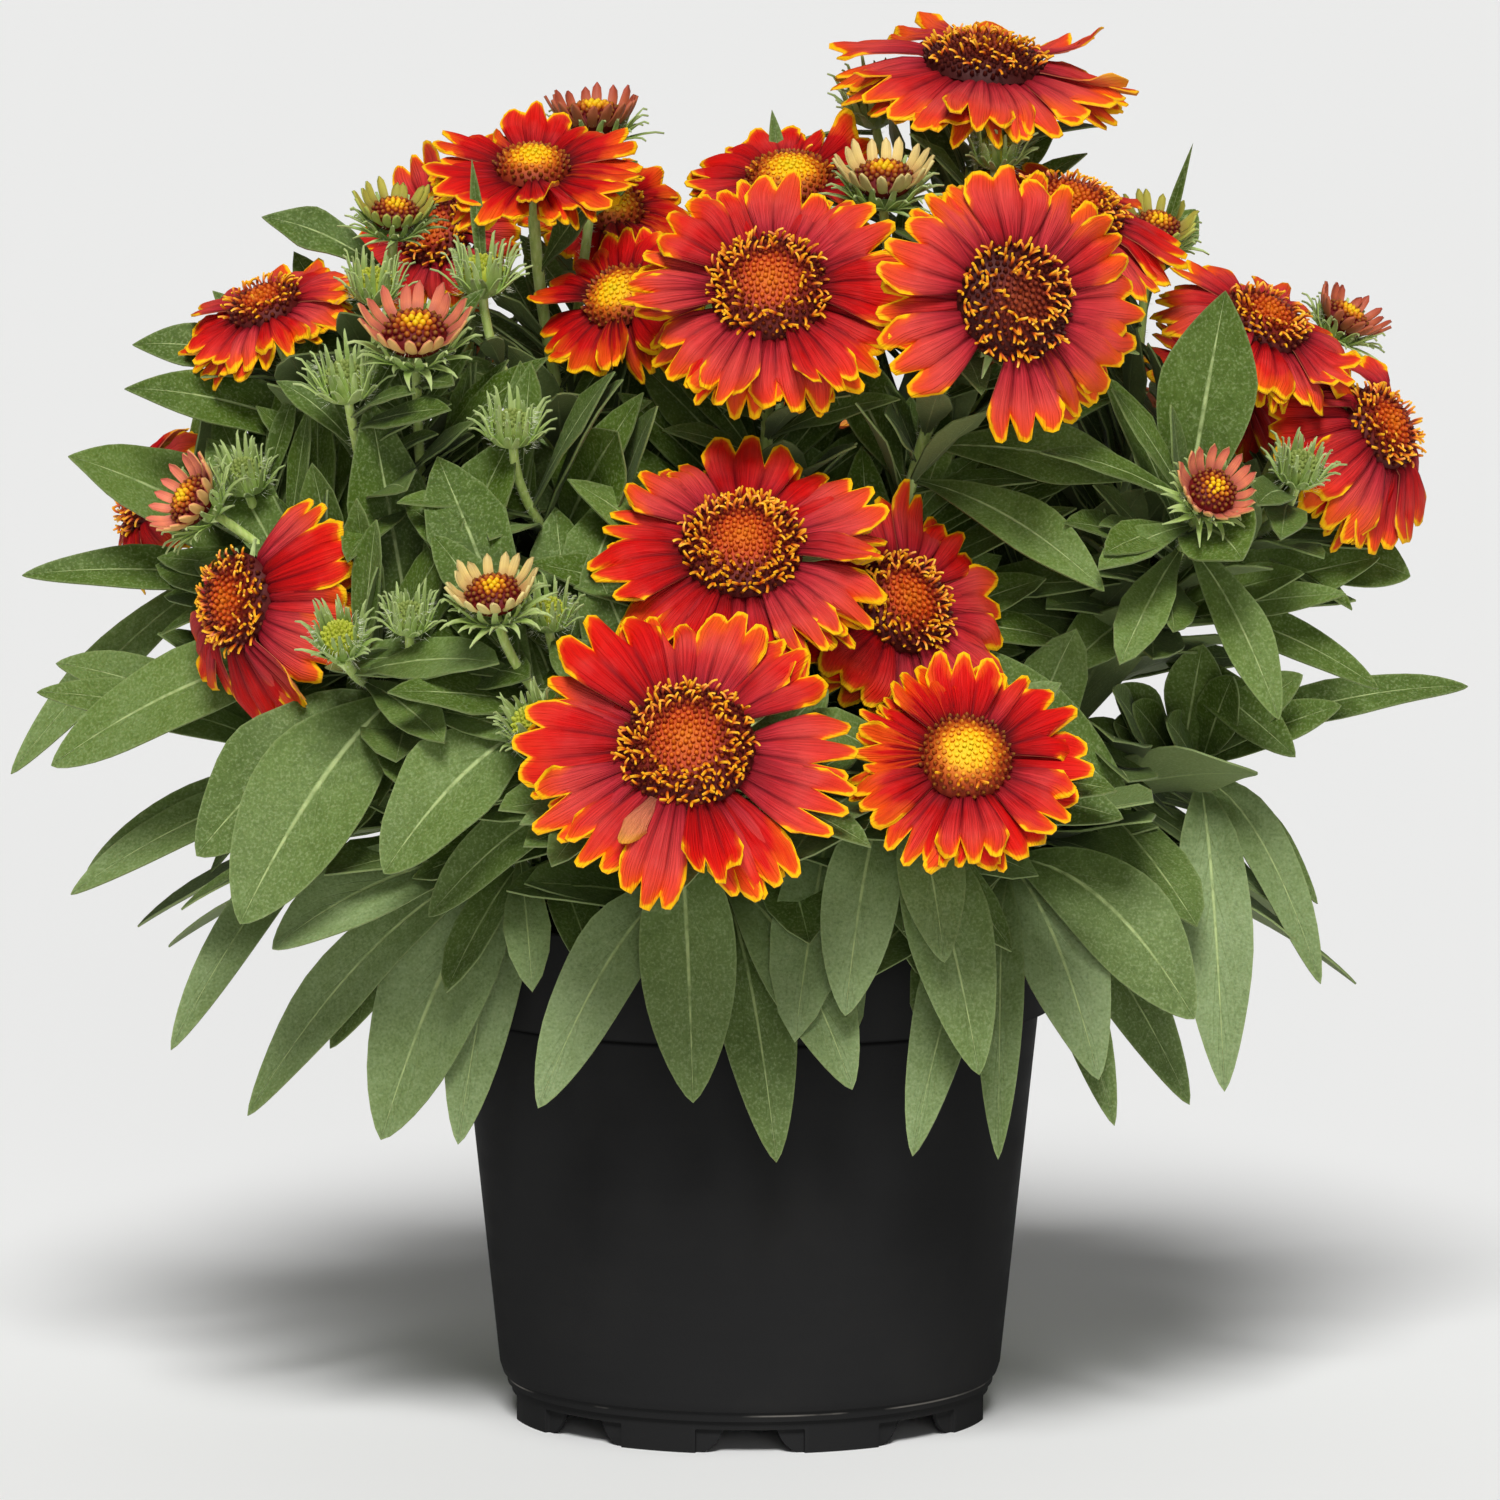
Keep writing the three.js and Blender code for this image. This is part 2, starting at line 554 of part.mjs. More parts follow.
// A closed bud has bracts that stand out and narrower ones that stand up between them; a
// half-open bud has bracts, then a crown of short rays round a small dome.
function budGeometry(kind, radius) {
  const shares = kind === 'closed' ? CLOSED_BUD_RINGS : HALF_BUD_RINGS;
  const top = kind === 'closed' ? CLOSED_BUD_TOP : HALF_BUD_TOP;
  const rings = shares.map((ring) => ring.map((share) => share * radius));
  return domeGeometry(rings, top * radius, BUD_SIDES);
}

// ---------------------------------------------------------------- stems

function sweepGeometry(curve, radius, sides, steps) {
  const corners = [];
  for (let side = 0; side < sides; side += 1) {
    const angle = (side * 2 * Math.PI) / sides;
    corners.push(new THREE.Vector2(radius * Math.cos(angle), radius * Math.sin(angle)));
  }
  const section = new THREE.Shape(corners);
  return new THREE.ExtrudeGeometry(section, { steps, extrudePath: curve, bevelEnabled: false });
}

// From the soil up to a head, arriving along the head's normal.
function mainCurve(foot, head, depth) {
  const end = head.centre.clone().addScaledVector(head.normal, -depth);
  const rise = end.clone().sub(foot);
  const before = end.clone().addScaledVector(head.normal, -STEM_REACH * rise.length());
  const lean = new THREE.Vector3(STEM_LEAN, STEM_LEAN, STEM_LIFT);
  const after = foot.clone().add(rise.clone().multiply(lean));
  return new THREE.CubicBezierCurve3(foot, after, before, end);
}

// A point on a rail of evenly spaced points, and the rail's direction there.
function alongRail(rail, share) {
  const place = share * (rail.length - 1);
  const index = Math.min(Math.floor(place), rail.length - 2);
  const point = rail[index].clone().lerp(rail[index + 1], place - index);
  const direction = rail[index + 1].clone().sub(rail[index]).normalize();
  return { point, direction };
}

function branchCurve(rail, fork, end, arrive) {
  const { point, direction } = alongRail(rail, fork);
  const span = end.distanceTo(point);
  const after = point.clone().addScaledVector(direction, STEM_REACH * span);
  const before = end.clone().addScaledVector(arrive, -STEM_REACH * span);
  return new THREE.CubicBezierCurve3(point, after, before, end);
}

// ---------------------------------------------------------------- leaves

// A thin blade on an arched midrib; its section is left edge, right edge, keel of the midrib.
function leafGeometry(leaf, grow) {
  const { root, tip, width, arch } = leaf;
  const side = tip.clone().sub(root).cross(leaf.look).normalize();
  const middle = root.clone().add(tip).multiplyScalar(0.5);
  middle.z += arch;
  const rib = new THREE.QuadraticBezierCurve3(root, middle, tip);
  const points = [];
  const faces = [];
  const stations = width < SMALL_LEAF_WIDTH ? SMALL_LEAF_STATIONS : LEAF_STATIONS;
  stations.forEach(([place, share], station) => {
    const centre = rib.getPoint(place);
    const face = side.clone().cross(rib.getTangent(place)).normalize();
    const halfWidth = (station === 0 ? LEAF_ROOT_WIDTH : width * share) / 2 + grow;
    const edge = centre.clone().addScaledVector(face, LEAF_THICKNESS / 2 + grow);
    points.push(edge.clone().addScaledVector(side, -halfWidth));
    points.push(edge.clone().addScaledVector(side, halfWidth));
    points.push(centre.clone().addScaledVector(face, -LEAF_THICKNESS / 2 - grow));
  });
  const last = stations.length - 1;
  const tipPoint = points.length;
  points.push(tip.clone().addScaledVector(rib.getTangent(1), grow));
  faces.push([0, 2, 1]);
  for (let station = 0; station < last; station += 1) {
    const [left, right, keel] = [0, 1, 2].map((corner) => station * 3 + corner);
    faces.push([left, right, right + 3], [left, right + 3, left + 3]);
    faces.push([right, keel, right + 3], [keel, keel + 3, right + 3]);
    faces.push([keel, left, keel + 3], [left, left + 3, keel + 3]);
  }
  for (let corner = 0; corner < 3; corner += 1) {
    faces.push([last * 3 + corner, last * 3 + ((corner + 1) % 3), tipPoint]);
  }
  return geometryOf(points, faces);
}

// Outwards from the pot's axis and up, at a place on the plant.
function outwardLook(place) {
  const outward = new THREE.Vector3(place.x, place.y, 0).normalize();
  return outward.multiplyScalar(OUTWARD_LOOK).setZ(Math.sqrt(1 - OUTWARD_LOOK ** 2));
}

// The leaf turned about its root and made smaller.
function turnedLeaf(leaf, turn, pitch, size) {
  const span = leaf.tip.clone().sub(leaf.root);
  const flat = Math.hypot(span.x, span.y);
  const heading = Math.atan2(span.y, span.x) + turn * DEG;
  const climb = Math.atan2(span.z, flat) + pitch * DEG;
  const length = span.length() * size;
  const tip = new THREE.Vector3(
    leaf.root.x + length * Math.cos(climb) * Math.cos(heading),
    leaf.root.y + length * Math.cos(climb) * Math.sin(heading),
    leaf.root.z + length * Math.sin(climb),
  );
  return { ...leaf, tip, width: leaf.width * size, arch: leaf.arch * size };
}

// ---------------------------------------------------------------- layout

const blooms = BLOOMS.map((row, index) => {
  const [name, x, y, z, radius, tilt, turn, rays, droop, discRadius, discHeight, stem, fork, missing] = row;
  return {
    name, key: index + 1, radius, rays, droop, discRadius, discHeight, stem, fork, missing,
    ...headFrame(x, y, z, tilt, turn),
  };
});

const stems = [];
blooms.filter((bloom) => bloom.fork === 0).forEach((bloom) => {
  const root = new THREE.Vector3(bloom.centre.x * ROOT_SPREAD, bloom.centre.y * ROOT_SPREAD, STEM_ROOT_Z);
  const foot = root.clone().setZ(STEM_BEND_Z);
  const curve = mainCurve(foot, bloom, CUP_DEPTH - CUP_SEAT);
  const below = new THREE.LineCurve3(root, foot.clone().setZ(STEM_BEND_Z + 1));
  const rail = curve.getSpacedPoints(STEM_STEPS);
  stems[bloom.stem - 1] = {
    number: bloom.stem,
    root,
    rails: [rail],
    pieces: [
      sweepGeometry(below, STEM_RADIUS, STEM_SIDES, 1),
      sweepGeometry(curve, STEM_RADIUS, STEM_SIDES, STEM_STEPS),
    ],
  };
});

function addBranch(stem, fork, end, arrive) {
  const curve = branchCurve(stem.rails[0], fork, end, arrive);
  stem.rails.push(curve.getSpacedPoints(BRANCH_STEPS));
  stem.pieces.push(sweepGeometry(curve, BRANCH_RADIUS, BRANCH_SIDES, BRANCH_STEPS));
}

blooms.forEach((bloom) => {
  const stem = stems[bloom.stem - 1];
  if (bloom.fork > 0) {
    const end = bloom.centre.clone().addScaledVector(bloom.normal, CUP_SEAT - CUP_DEPTH);
    addBranch(stem, bloom.fork, end, bloom.normal);
  }
  stem.pieces.push(cupGeometry(bloom).applyMatrix4(bloom.frame));
});

BUDS.forEach(([kind, x, y, z, radius, tilt, turn, number, fork]) => {
  const stem = stems[number - 1];
  const head = headFrame(x, y, z, tilt, turn);
  addBranch(stem, fork, head.centre.clone().addScaledVector(head.normal, -radius * BUD_SEAT), head.normal);
  stem.pieces.push(budGeometry(kind, radius).applyMatrix4(head.frame));
});

SHOOTS.forEach(([x, y, z, number, fork]) => {
  const end = new THREE.Vector3(x, y, z);
  const outward = new THREE.Vector3(x, y, 0).normalize();
  addBranch(stems[number - 1], fork, end, outward);
});

// Places along every stem and branch where one leaf may grow.
const nodes = stems.flatMap((stem) => stem.rails.flatMap((rail) => {
  const length = rail[0].distanceTo(rail[1]) * (rail.length - 1);
  const count = Math.max(2, Math.round(length / NODE_SPACING) - 1);
  return Array.from({ length: count }, (_, index) => ({
    stem,
    point: alongRail(rail, (index + 1) / (count + 1)).point,
  }));
}));

// The free place nearest to a wanted root.
function nearestNode(wanted) {
  const free = nodes.filter((node) => !node.used);
  const best = free.reduce((a, b) => (b.point.distanceTo(wanted) < a.point.distanceTo(wanted) ? b : a));
  best.used = true;
  return best;
}

const leaves = LEAVES.map(([rx, ry, rz, tx, ty, tz, width, arch]) => {
  const { point, stem } = nearestNode(new THREE.Vector3(rx, ry, rz));
  return { stem, root: point, tip: new THREE.Vector3(tx, ty, tz), width, arch, look: FRONT_LOOK };
});

for (let index = 0; index < BACK_LEAVES; index += 1) {
  const angle = mix(BACK_FIRST_ANGLE, BACK_LAST_ANGLE, index / (BACK_LEAVES - 1)) * DEG;
  const outward = new THREE.Vector3(Math.cos(angle), Math.sin(angle), 0);
  const wanted = outward.clone().multiplyScalar(BACK_ROOT_RADIUS).setZ(BACK_ROOT_Z);
  const reach = mix(...BACK_TIP_RADIUS, scatter(index + 400));
  const tipZ = mix(...BACK_TIP_Z, scatter(index + 500));
  const tip = outward.multiplyScalar(reach).setZ(tipZ);
  const { point, stem } = nearestNode(wanted);
  const width = mix(...BACK_WIDTH, scatter(index + 600));
  leaves.push({ stem, root: point, tip, width, arch: BACK_ARCH, look: outwardLook(tip) });
}

stems.forEach((stem) => {
  SPIRAL_PLACES.forEach((place, index) => {
    const key = stem.number * 10 + index;
    const root = alongRail(stem.rails[0], place).point;
    const angle = (stem.number * SPIRAL_STEM_TURN + index * SPIRAL_TURN) * DEG;
    const share = index / (SPIRAL_PLACES.length - 1);
    const length = mix(...SPIRAL_LENGTH, share) * mix(...SPIRAL_SPREAD, scatter(key));
    const width = mix(...SPIRAL_WIDTH, share);
    const climb = mix(...SPIRAL_RISE, share) * DEG;
    const tip = new THREE.Vector3(
      root.x + length * Math.cos(climb) * Math.cos(angle),
      root.y + length * Math.cos(climb) * Math.sin(angle),
      root.z + length * Math.sin(climb),
    );
    leaves.push({ stem, root, tip, width, arch: length * SPIRAL_ARCH, look: outwardLook(tip) });
  });
});

// ---------------------------------------------------------------- bending the leaves clear

const obstacles = [];

function addObstacle(owner, geometry) {
  geometry.computeBoundingBox();
  obstacles.push({ owner, box: geometry.boundingBox.clone(), solid: solidFrom(geometry) });
}

const potShape = potGeometry();
const soilShape = soilGeometry(stems);
addObstacle('pot', potShape);
addObstacle('soil', soilShape);
blooms.forEach((bloom) => {
  bloom.raysShape = raysGeometry(bloom);
  bloom.discShape = discGeometry(bloom);
  addObstacle('bloom', bloom.raysShape.clone().applyMatrix4(bloom.frame));
  addObstacle('bloom', bloom.discShape.clone().applyMatrix4(bloom.frame));
});
stems.forEach((stem) => {
  stem.pieces.forEach((piece) => addObstacle(stem, piece));
});

// A leaf is clear when it touches its own stem's pieces near its root only, and nothing else.
function isClear(geometry, leaf) {
  geometry.computeBoundingBox();
  const near = obstacles.filter((other) => other.box.intersectsBox(geometry.boundingBox));
  if (near.length === 0) return true;
  const solid = solidFrom(geometry);
  return near.every((other) => {
    const shared = solid.intersect(other.solid);
    if (shared.isEmpty()) return true;
    if (other.owner !== leaf.stem) return false;
    const { min, max } = shared.boundingBox();
    return [min, max].every((corner) => leaf.root.distanceTo(new THREE.Vector3(...corner)) < LEAF_ROOT_ZONE);
  });
}

function placeLeaf(leaf) {
  for (const size of LEAF_SIZES) {
    for (const [turn, pitch] of LEAF_TURNS) {
      const turned = turnedLeaf(leaf, turn, pitch, size);
      if (isClear(leafGeometry(turned, LEAF_CLEARANCE), leaf)) {
        const blade = leafGeometry(turned, 0);
        leaf.stem.pieces.push(blade);
        addObstacle(leaf.stem, blade);
        return true;
      }
    }
  }
  return false;
}

const placed = leaves.filter(placeLeaf);

// ---------------------------------------------------------------- the plant

const plant = new THREE.Group();
plant.name = 'blanket_flower_plant';

function addPiece(name, geometry, material) {
  const mesh = new THREE.Mesh(geometry, material);
  mesh.name = name;
  plant.add(mesh);
  return mesh;
}

addPiece('pot', potShape, POT_BLACK);
addPiece('soil', soilShape, SOIL_BROWN);
stems.forEach((stem) => {
  const name = `stem_${String(stem.number).padStart(2, '0')}`;
  addPiece(name, geometryFrom(fuse(stem.pieces.map(solidFrom))), LEAF_GREEN);
});
blooms.forEach((bloom) => {
  const head = new THREE.Group();
  head.applyMatrix4(bloom.frame);
  const rays = new THREE.Mesh(bloom.raysShape, RAY_RED);
  rays.name = `bloom_${bloom.name}_rays`;
  const disc = new THREE.Mesh(bloom.discShape, DISC_MAROON);
  disc.name = `bloom_${bloom.name}_disc`;
  head.add(rays, disc);
  plant.add(head);
});

export default plant;
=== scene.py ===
import math

import bpy
import numpy as np
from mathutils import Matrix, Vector, kdtree, noise
from mathutils.bvhtree import BVHTree


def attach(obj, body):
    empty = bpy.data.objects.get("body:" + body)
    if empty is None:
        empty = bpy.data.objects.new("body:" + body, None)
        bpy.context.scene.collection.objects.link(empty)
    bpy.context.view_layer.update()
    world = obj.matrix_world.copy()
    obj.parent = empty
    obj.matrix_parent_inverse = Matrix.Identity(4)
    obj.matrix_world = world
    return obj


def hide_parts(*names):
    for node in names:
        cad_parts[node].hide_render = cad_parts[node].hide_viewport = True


# A blanket flower plant in its black nursery pot. Lengths are millimetres until a mesh is made.
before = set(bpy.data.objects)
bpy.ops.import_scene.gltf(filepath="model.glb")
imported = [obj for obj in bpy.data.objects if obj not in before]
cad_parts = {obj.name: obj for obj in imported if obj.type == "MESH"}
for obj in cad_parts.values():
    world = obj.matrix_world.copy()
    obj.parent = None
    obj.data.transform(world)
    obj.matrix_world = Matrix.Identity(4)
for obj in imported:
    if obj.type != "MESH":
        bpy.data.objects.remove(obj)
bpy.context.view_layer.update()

MM = 0.001
SEED = 7
POT_RIM_Z = 114
POT_SEAM_Z = 10.6

# ---------------------------------------------------------------- the plant's layout

# Stems: where they root and bend, how they lean out, and the seats of cups and buds on them.
GAP = 0.3
STEM_ROOT_Z = 115
STEM_BEND_Z = 130
ROOT_SPREAD = 0.3
STEM_REACH = 0.35
STEM_LEAN = np.array([0.2, 0.2, 0.35])
STEM_STEPS = 5
BRANCH_STEPS = 3
CUP_DEPTH = 8
CUP_SEAT = 2
CUP_REACH = 0.12
BUD_SEAT = 0.3
PLATE_MARGIN = 0.6

# Rays: alternate ones lie a few degrees higher and lower, and each sways and reaches a little its own way.
RAY_LAYER = 4
RAY_SWAY = 6
RAY_REACH = (0.93, 1.03)

# Leaves grow at places a few millimetres apart along the stems. Their faces look to the front, or
# outwards and up.
NODE_SPACING = 5
FRONT_LOOK = np.array([0, -0.8, 0.6])
OUTWARD_LOOK = 0.75

# Turns and sizes at which a leaf may find room, as the solids try them: turn and pitch in degrees.
LEAF_TURNS = [
    (0, 0), (0, 5), (0, -5), (6, 0), (-6, 0), (6, 6), (-6, 6), (6, -6), (-6, -6),
    (0, 11), (0, -11), (12, 0), (-12, 0), (12, 9), (-12, 9), (12, -9), (-12, -9),
    (20, 0), (-20, 0), (20, 12), (-20, 12), (20, -12), (-20, -12), (0, 18), (0, -18),
]
LEAF_SIZES = (1, 0.86, 0.72, 0.6)
LEAF_MATCH = 0.02

# Blooms: name, x, y, z, radius, tilt of the face above level, its turn from the front towards +X,
# rays, droop, disc radius, disc height, stem, fork on that stem, rays that are missing, age.
BLOOMS = [
    ("01", 64, 10, 371, 46, 75, 20, 13, 10, 18, 9, 1, 0, (), "old"),
    ("02", -59, -15, 344, 31, 65, 0, 12, -4, 11, 7, 2, 0, (), "young"),
    ("03", 5, -75, 315, 39, 35, 0, 13, 4, 17, 8, 3, 0, (), "open"),
    ("04", 69, -95, 313, 39, 10, 20, 12, 14, 17, 9, 4, 0, (8,), "old"),
    ("05", 86, -25, 332, 37, 62, 30, 12, 22, 16, 9, 4, 0.45, (4,), "open"),
    ("06", -2, -98, 248, 42, 45, 0, 13, 8, 17.5, 8, 5, 0, (), "open"),
    ("07", 40, -75, 231, 36, 30, 30, 11, 8, 15, 8, 5, 0.35, (), "open"),
    ("08", -16, -150, 201, 47.5, 35, -5, 14, 6, 19, 9, 6, 0, (1,), "open"),
    ("09", 56, -138, 197, 33, 35, 5, 12, 2, 13, 8, 5, 0.2, (), "young"),
    ("10", -136, -60, 231, 40, 5, -50, 12, 32, 14, 8, 7, 0, (3, 4, 5), "open"),
    ("11", -132, -10, 306, 27, 60, -40, 10, 12, 11, 6, 8, 0, (), "open"),
    ("12", 11, 0, 340, 30, 60, 0, 10, 4, 13, 7, 3, 0.4, (), "young"),
    ("13", 140, -5, 301, 32, 55, 40, 11, 14, 13, 8, 9, 0, (), "open"),
    ("14", 172, 0, 272, 38, 30, 50, 11, 38, 13, 8, 10, 0, (3,), "open"),
    ("15", -35, -30, 310, 27, 40, -30, 10, 8, 11, 6, 11, 0, (), "young"),
    ("16", -168, 35, 250, 27, 20, -70, 9, 26, 11, 6, 7, 0.45, (), "open"),
    ("17", -87, 50, 323, 26, 30, -20, 9, 10, 11, 6, 8, 0.3, (), "open"),
    ("18", -39, 48, 330, 25, 50, 10, 9, 8, 10, 6, 2, 0.35, (), "young"),
    ("19", 133, 45, 283, 27, 40, 50, 9, 16, 11, 6, 9, 0.4, (), "open"),
    ("20", -100, 105, 280, 36, 50, 215, 11, 8, 15, 8, 12, 0, (), "open"),
    ("21", -4, 149, 250, 42, 40, 180, 11, 8, 17, 8, 13, 0, (), "open"),
    ("22", 96, 112, 278, 38, 50, 145, 11, 12, 16, 8, 14, 0, (), "old"),
]

# Buds: kind, x, y, z, radius, tilt, turn, stem, fork, colour of the crown or of the closed dome.
BUDS = [
    ("half", -43, 28, 356, 12, 80, 0, 2, 0.6, "rust"),
    ("half", -97, 0, 331, 10, 65, 10, 8, 0.55, "lime"),
    ("half", -89, -70, 303, 13, 60, 0, 8, 0.35, "coral"),
    ("half", 36, -30, 342, 12, 70, 0, 1, 0.55, "cream"),
    ("half", -150, -40, 256, 11, 30, -60, 7, 0.6, "coral"),
    ("half", -67, -120, 238, 11, 60, -10, 6, 0.35, "cream"),
    ("half", 123, -70, 261, 10, 35, 20, 10, 0.4, "coral"),
    ("half", 112, 20, 326, 10, 60, 20, 9, 0.5, "lime"),
    ("half", 165, 35, 300, 10, 55, 60, 10, 0.65, "rust"),
    ("closed", -72, -40, 317, 10, 80, 0, 11, 0.4, "lime"),
    ("closed", -102, -20, 313, 9, 80, 0, 8, 0.62, "lime"),
    ("closed", -108, -62, 290, 10, 70, -20, 8, 0.45, "moss"),
    ("closed", -63, -80, 279, 9, 70, 0, 11, 0.3, "moss"),
    ("closed", 67, -14, 349, 8.5, 70, 10, 1, 0.65, "lime"),
    ("closed", 34, 30, 360, 11, 75, -20, 1, 0.72, "moss"),
    ("closed", -137, -30, 262, 9, 60, -20, 7, 0.6, "moss"),
    ("closed", -108, -103, 225, 9, 45, -10, 7, 0.5, "lime"),
    ("closed", -90, -97, 230, 8, 65, 0, 7, 0.42, "moss"),
    ("closed", -53, -105, 232, 8, 65, 0, 6, 0.45, "lime"),
    ("closed", -57, -127, 205, 9, 45, -20, 6, 0.55, "lime"),
    ("closed", 149, -30, 264, 9, 60, 20, 10, 0.7, "moss"),
]

# Leafy side shoots without a flower: x, y, z of the tip, stem, fork.
SHOOTS = [
    (-125, 15, 176, 7, 0.18),
    (-66, -74, 163, 7, 0.14),
    (128, -8, 178, 10, 0.2),
    (74, -70, 160, 10, 0.1),
    (-70, 80, 168, 12, 0.2),
    (72, 82, 168, 14, 0.2),
]

# Leaves placed one by one: x, y, z near the root, x, y, z of the tip, width, arch.
LEAVES = [
    (-116, 20, 317, -134, 10, 330, 12, 6),
    (-139, 10, 285, -169, 0, 300, 13, 6),
    (-115, -10, 261, -170, -20, 285, 17, 10),
    (-140, 0, 228, -186, -12, 266, 25, 8),
    (-150, 0, 208, -200, 2, 232, 13, 8),
    (-158, -5, 201, -190, -10, 209, 15, 10),
    (-158, 20, 191, -200, 10, 202, 13, 10),
    (-160, 30, 189, -205, 20, 175, 13, 14),
    (-127, -40, 191, -192, -30, 182, 22, 14),
    (-141, -20, 167, -185, 0, 156, 13, 14),
    (-141, 0, 151, -187, 20, 145, 13, 14),
    (-74, -70, 205, -151, -80, 170, 28, 16),
    (-68, -85, 199, -135, -100, 149, 30, 16),
    (-65, -95, 197, -96, -120, 165, 25, 14),
    (-86, -80, 164, -127, -90, 141, 20, 14),
    (-131, -40, 137, -158, -30, 105, 13, 20),
    (-97, -55, 136, -136, -50, 90, 17, 26),
    (-72, -75, 148, -111, -80, 95, 29, 26),
    (-73, -70, 124, -92, -70, 90, 18, 30),
    (-95, -55, 141, -118, -60, 115, 15, 22),
    (-55, -90, 168, -85, -100, 151, 15, 14),
    (-48, -85, 159, -15, -112, 103, 24, 26),
    (-40, -92, 133, -56, -108, 101, 19, 26),
    (-51, -80, 158, -58, -100, 143, 12, 12),
    (-8, -88, 151, 27, -115, 107, 21, 24),
    (21, -98, 130, 7, -105, 86, 19, 30),
    (32, -95, 163, 25, -118, 127, 19, 20),
    (48, -90, 154, 56, -114, 109, 21, 24),
    (56, -85, 145, 43, -107, 88, 16, 30),
    (73, -72, 136, 66, -94, 85, 12, 30),
    (45, -100, 155, 51, -124, 142, 16, 16),
    (121, -50, 187, 129, -40, 95, 19, 30),
    (95, -65, 173, 119, -75, 120, 25, 24),
    (79, -75, 162, 93, -88, 109, 22, 26),
    (83, -60, 134, 98, -68, 90, 13, 26),
    (103, -45, 130, 119, -50, 93, 17, 24),
    (129, -30, 192, 166, -20, 130, 13, 30),
    (137, 0, 170, 157, 10, 140, 9, 20),
    (150, -10, 184, 205, 4, 184, 12, 12),
    (151, 0, 203, 182, 10, 231, 22, 8),
    (142, -20, 197, 172, -10, 202, 12, 10),
    (92, -66, 230, 128, -80, 247, 21, 8),
    (64, -60, 250, 94, -85, 236, 15, 10),
    (94, -60, 226, 142, -60, 199, 13, 12),
    (115, -35, 267, 128, -40, 313, 25, 4),
    (100, 42, 312, 124, 48, 330, 12, 4),
    (103, 20, 312, 107, 30, 332, 11, 3),
    (168, 5, 240, 194, 10, 262, 14, 6),
    (57, -90, 157, 98, -115, 179, 17, 8),
    (83, -70, 205, 110, -85, 190, 19, 12),
    (-81, -60, 229, -102, -60, 286, 21, 4),
    (-55, -75, 229, -35, -80, 278, 26, 4),
    (-67, -70, 240, -72, -70, 271, 17, 4),
    (-22, -60, 272, -14, -55, 289, 10, 3),
    (-118, -30, 256, -134, -28, 288, 6, 3),
    (-57, -20, 312, -47, -25, 343, 10, 3),
    (-36, 20, 326, -31, 20, 345, 9, 3),
    (35, -60, 264, 36, -70, 282, 13, 3),
    (21, -50, 269, 40, -70, 286, 8, 4),
    (-50, -100, 225, -42, -112, 212, 12, 6),
    (31, -110, 202, 47, -120, 199, 11, 6),
    (66, 22, 334, 84, 26, 352, 12, 3),
    (48, 16, 335, 44, 22, 358, 11, 3),
    (67, -50, 265, 104, -60, 264, 17, 6),
]

# Leaves placed by rule: low ones round the back that hang over the rim, and a spiral up each stem.
BACK_LEAVES = 15
BACK_ANGLES = (-12, 192)
BACK_ROOT_RADIUS = 70
BACK_ROOT_Z = 150
BACK_TIP_RADIUS = (150, 178)
BACK_TIP_Z = (96, 150)
BACK_WIDTH = (20, 28)
BACK_ARCH = 24
SPIRAL_PLACES = (0.2, 0.4, 0.62)
SPIRAL_TURN = 137.5
SPIRAL_STEM_TURN = 71
SPIRAL_LENGTH = (88, 50)
SPIRAL_WIDTH = (26, 18)
SPIRAL_RISE = (14, 50)
SPIRAL_SPREAD = (0.85, 1.1)
SPIRAL_ARCH = 0.12


# Numbers that keep the scatter of one trait apart from another's, the same as in the solids.
RAY_SLOPE_KEY = 31
RAY_REACH_KEY = 57
RAY_LOWER_KEY = 91
BACK_REACH_KEY = 400
BACK_HEIGHT_KEY = 500
BACK_WIDTH_KEY = 600


def scatter(key):
    """A repeatable number from 0 to 1 for each whole number."""
    wave = math.sin(key * 12.9898) * 43758.5453
    return wave - math.floor(wave)


def mix(start, end, share):
    return start + (end - start) * share


def unit(vector):
    vector = np.asarray(vector, float)
    return vector / np.linalg.norm(vector, axis=-1, keepdims=True)


def smooth_step(low, high, value):
    share = np.clip((value - low) / (high - low), 0, 1)
    return share * share * (3 - 2 * share)


def heading(climb, turn):
    """The direction that climbs by one angle and turns by the other from +X, both in radians."""
    return np.array([math.cos(climb) * math.cos(turn), math.cos(climb) * math.sin(turn), math.sin(climb)])


class Head:
    """The frame of a flower head: its face looks along the third axis."""

    def __init__(self, x, y, z, tilt, turn):
        sin_tilt, cos_tilt = math.sin(math.radians(tilt)), math.cos(math.radians(tilt))
        sin_turn, cos_turn = math.sin(math.radians(turn)), math.cos(math.radians(turn))
        self.centre = np.array([x, y, z], float)
        self.normal = np.array([cos_tilt * sin_turn, -cos_tilt * cos_turn, sin_tilt])
        right = np.array([cos_turn, sin_turn, 0])
        rise = np.array([-sin_tilt * sin_turn, sin_tilt * cos_turn, cos_tilt])
        self.axes = np.array([right, rise, self.normal])

    def out(self, local):
        """Points given in this frame, in the plant's own."""
        return self.centre + local @ self.axes


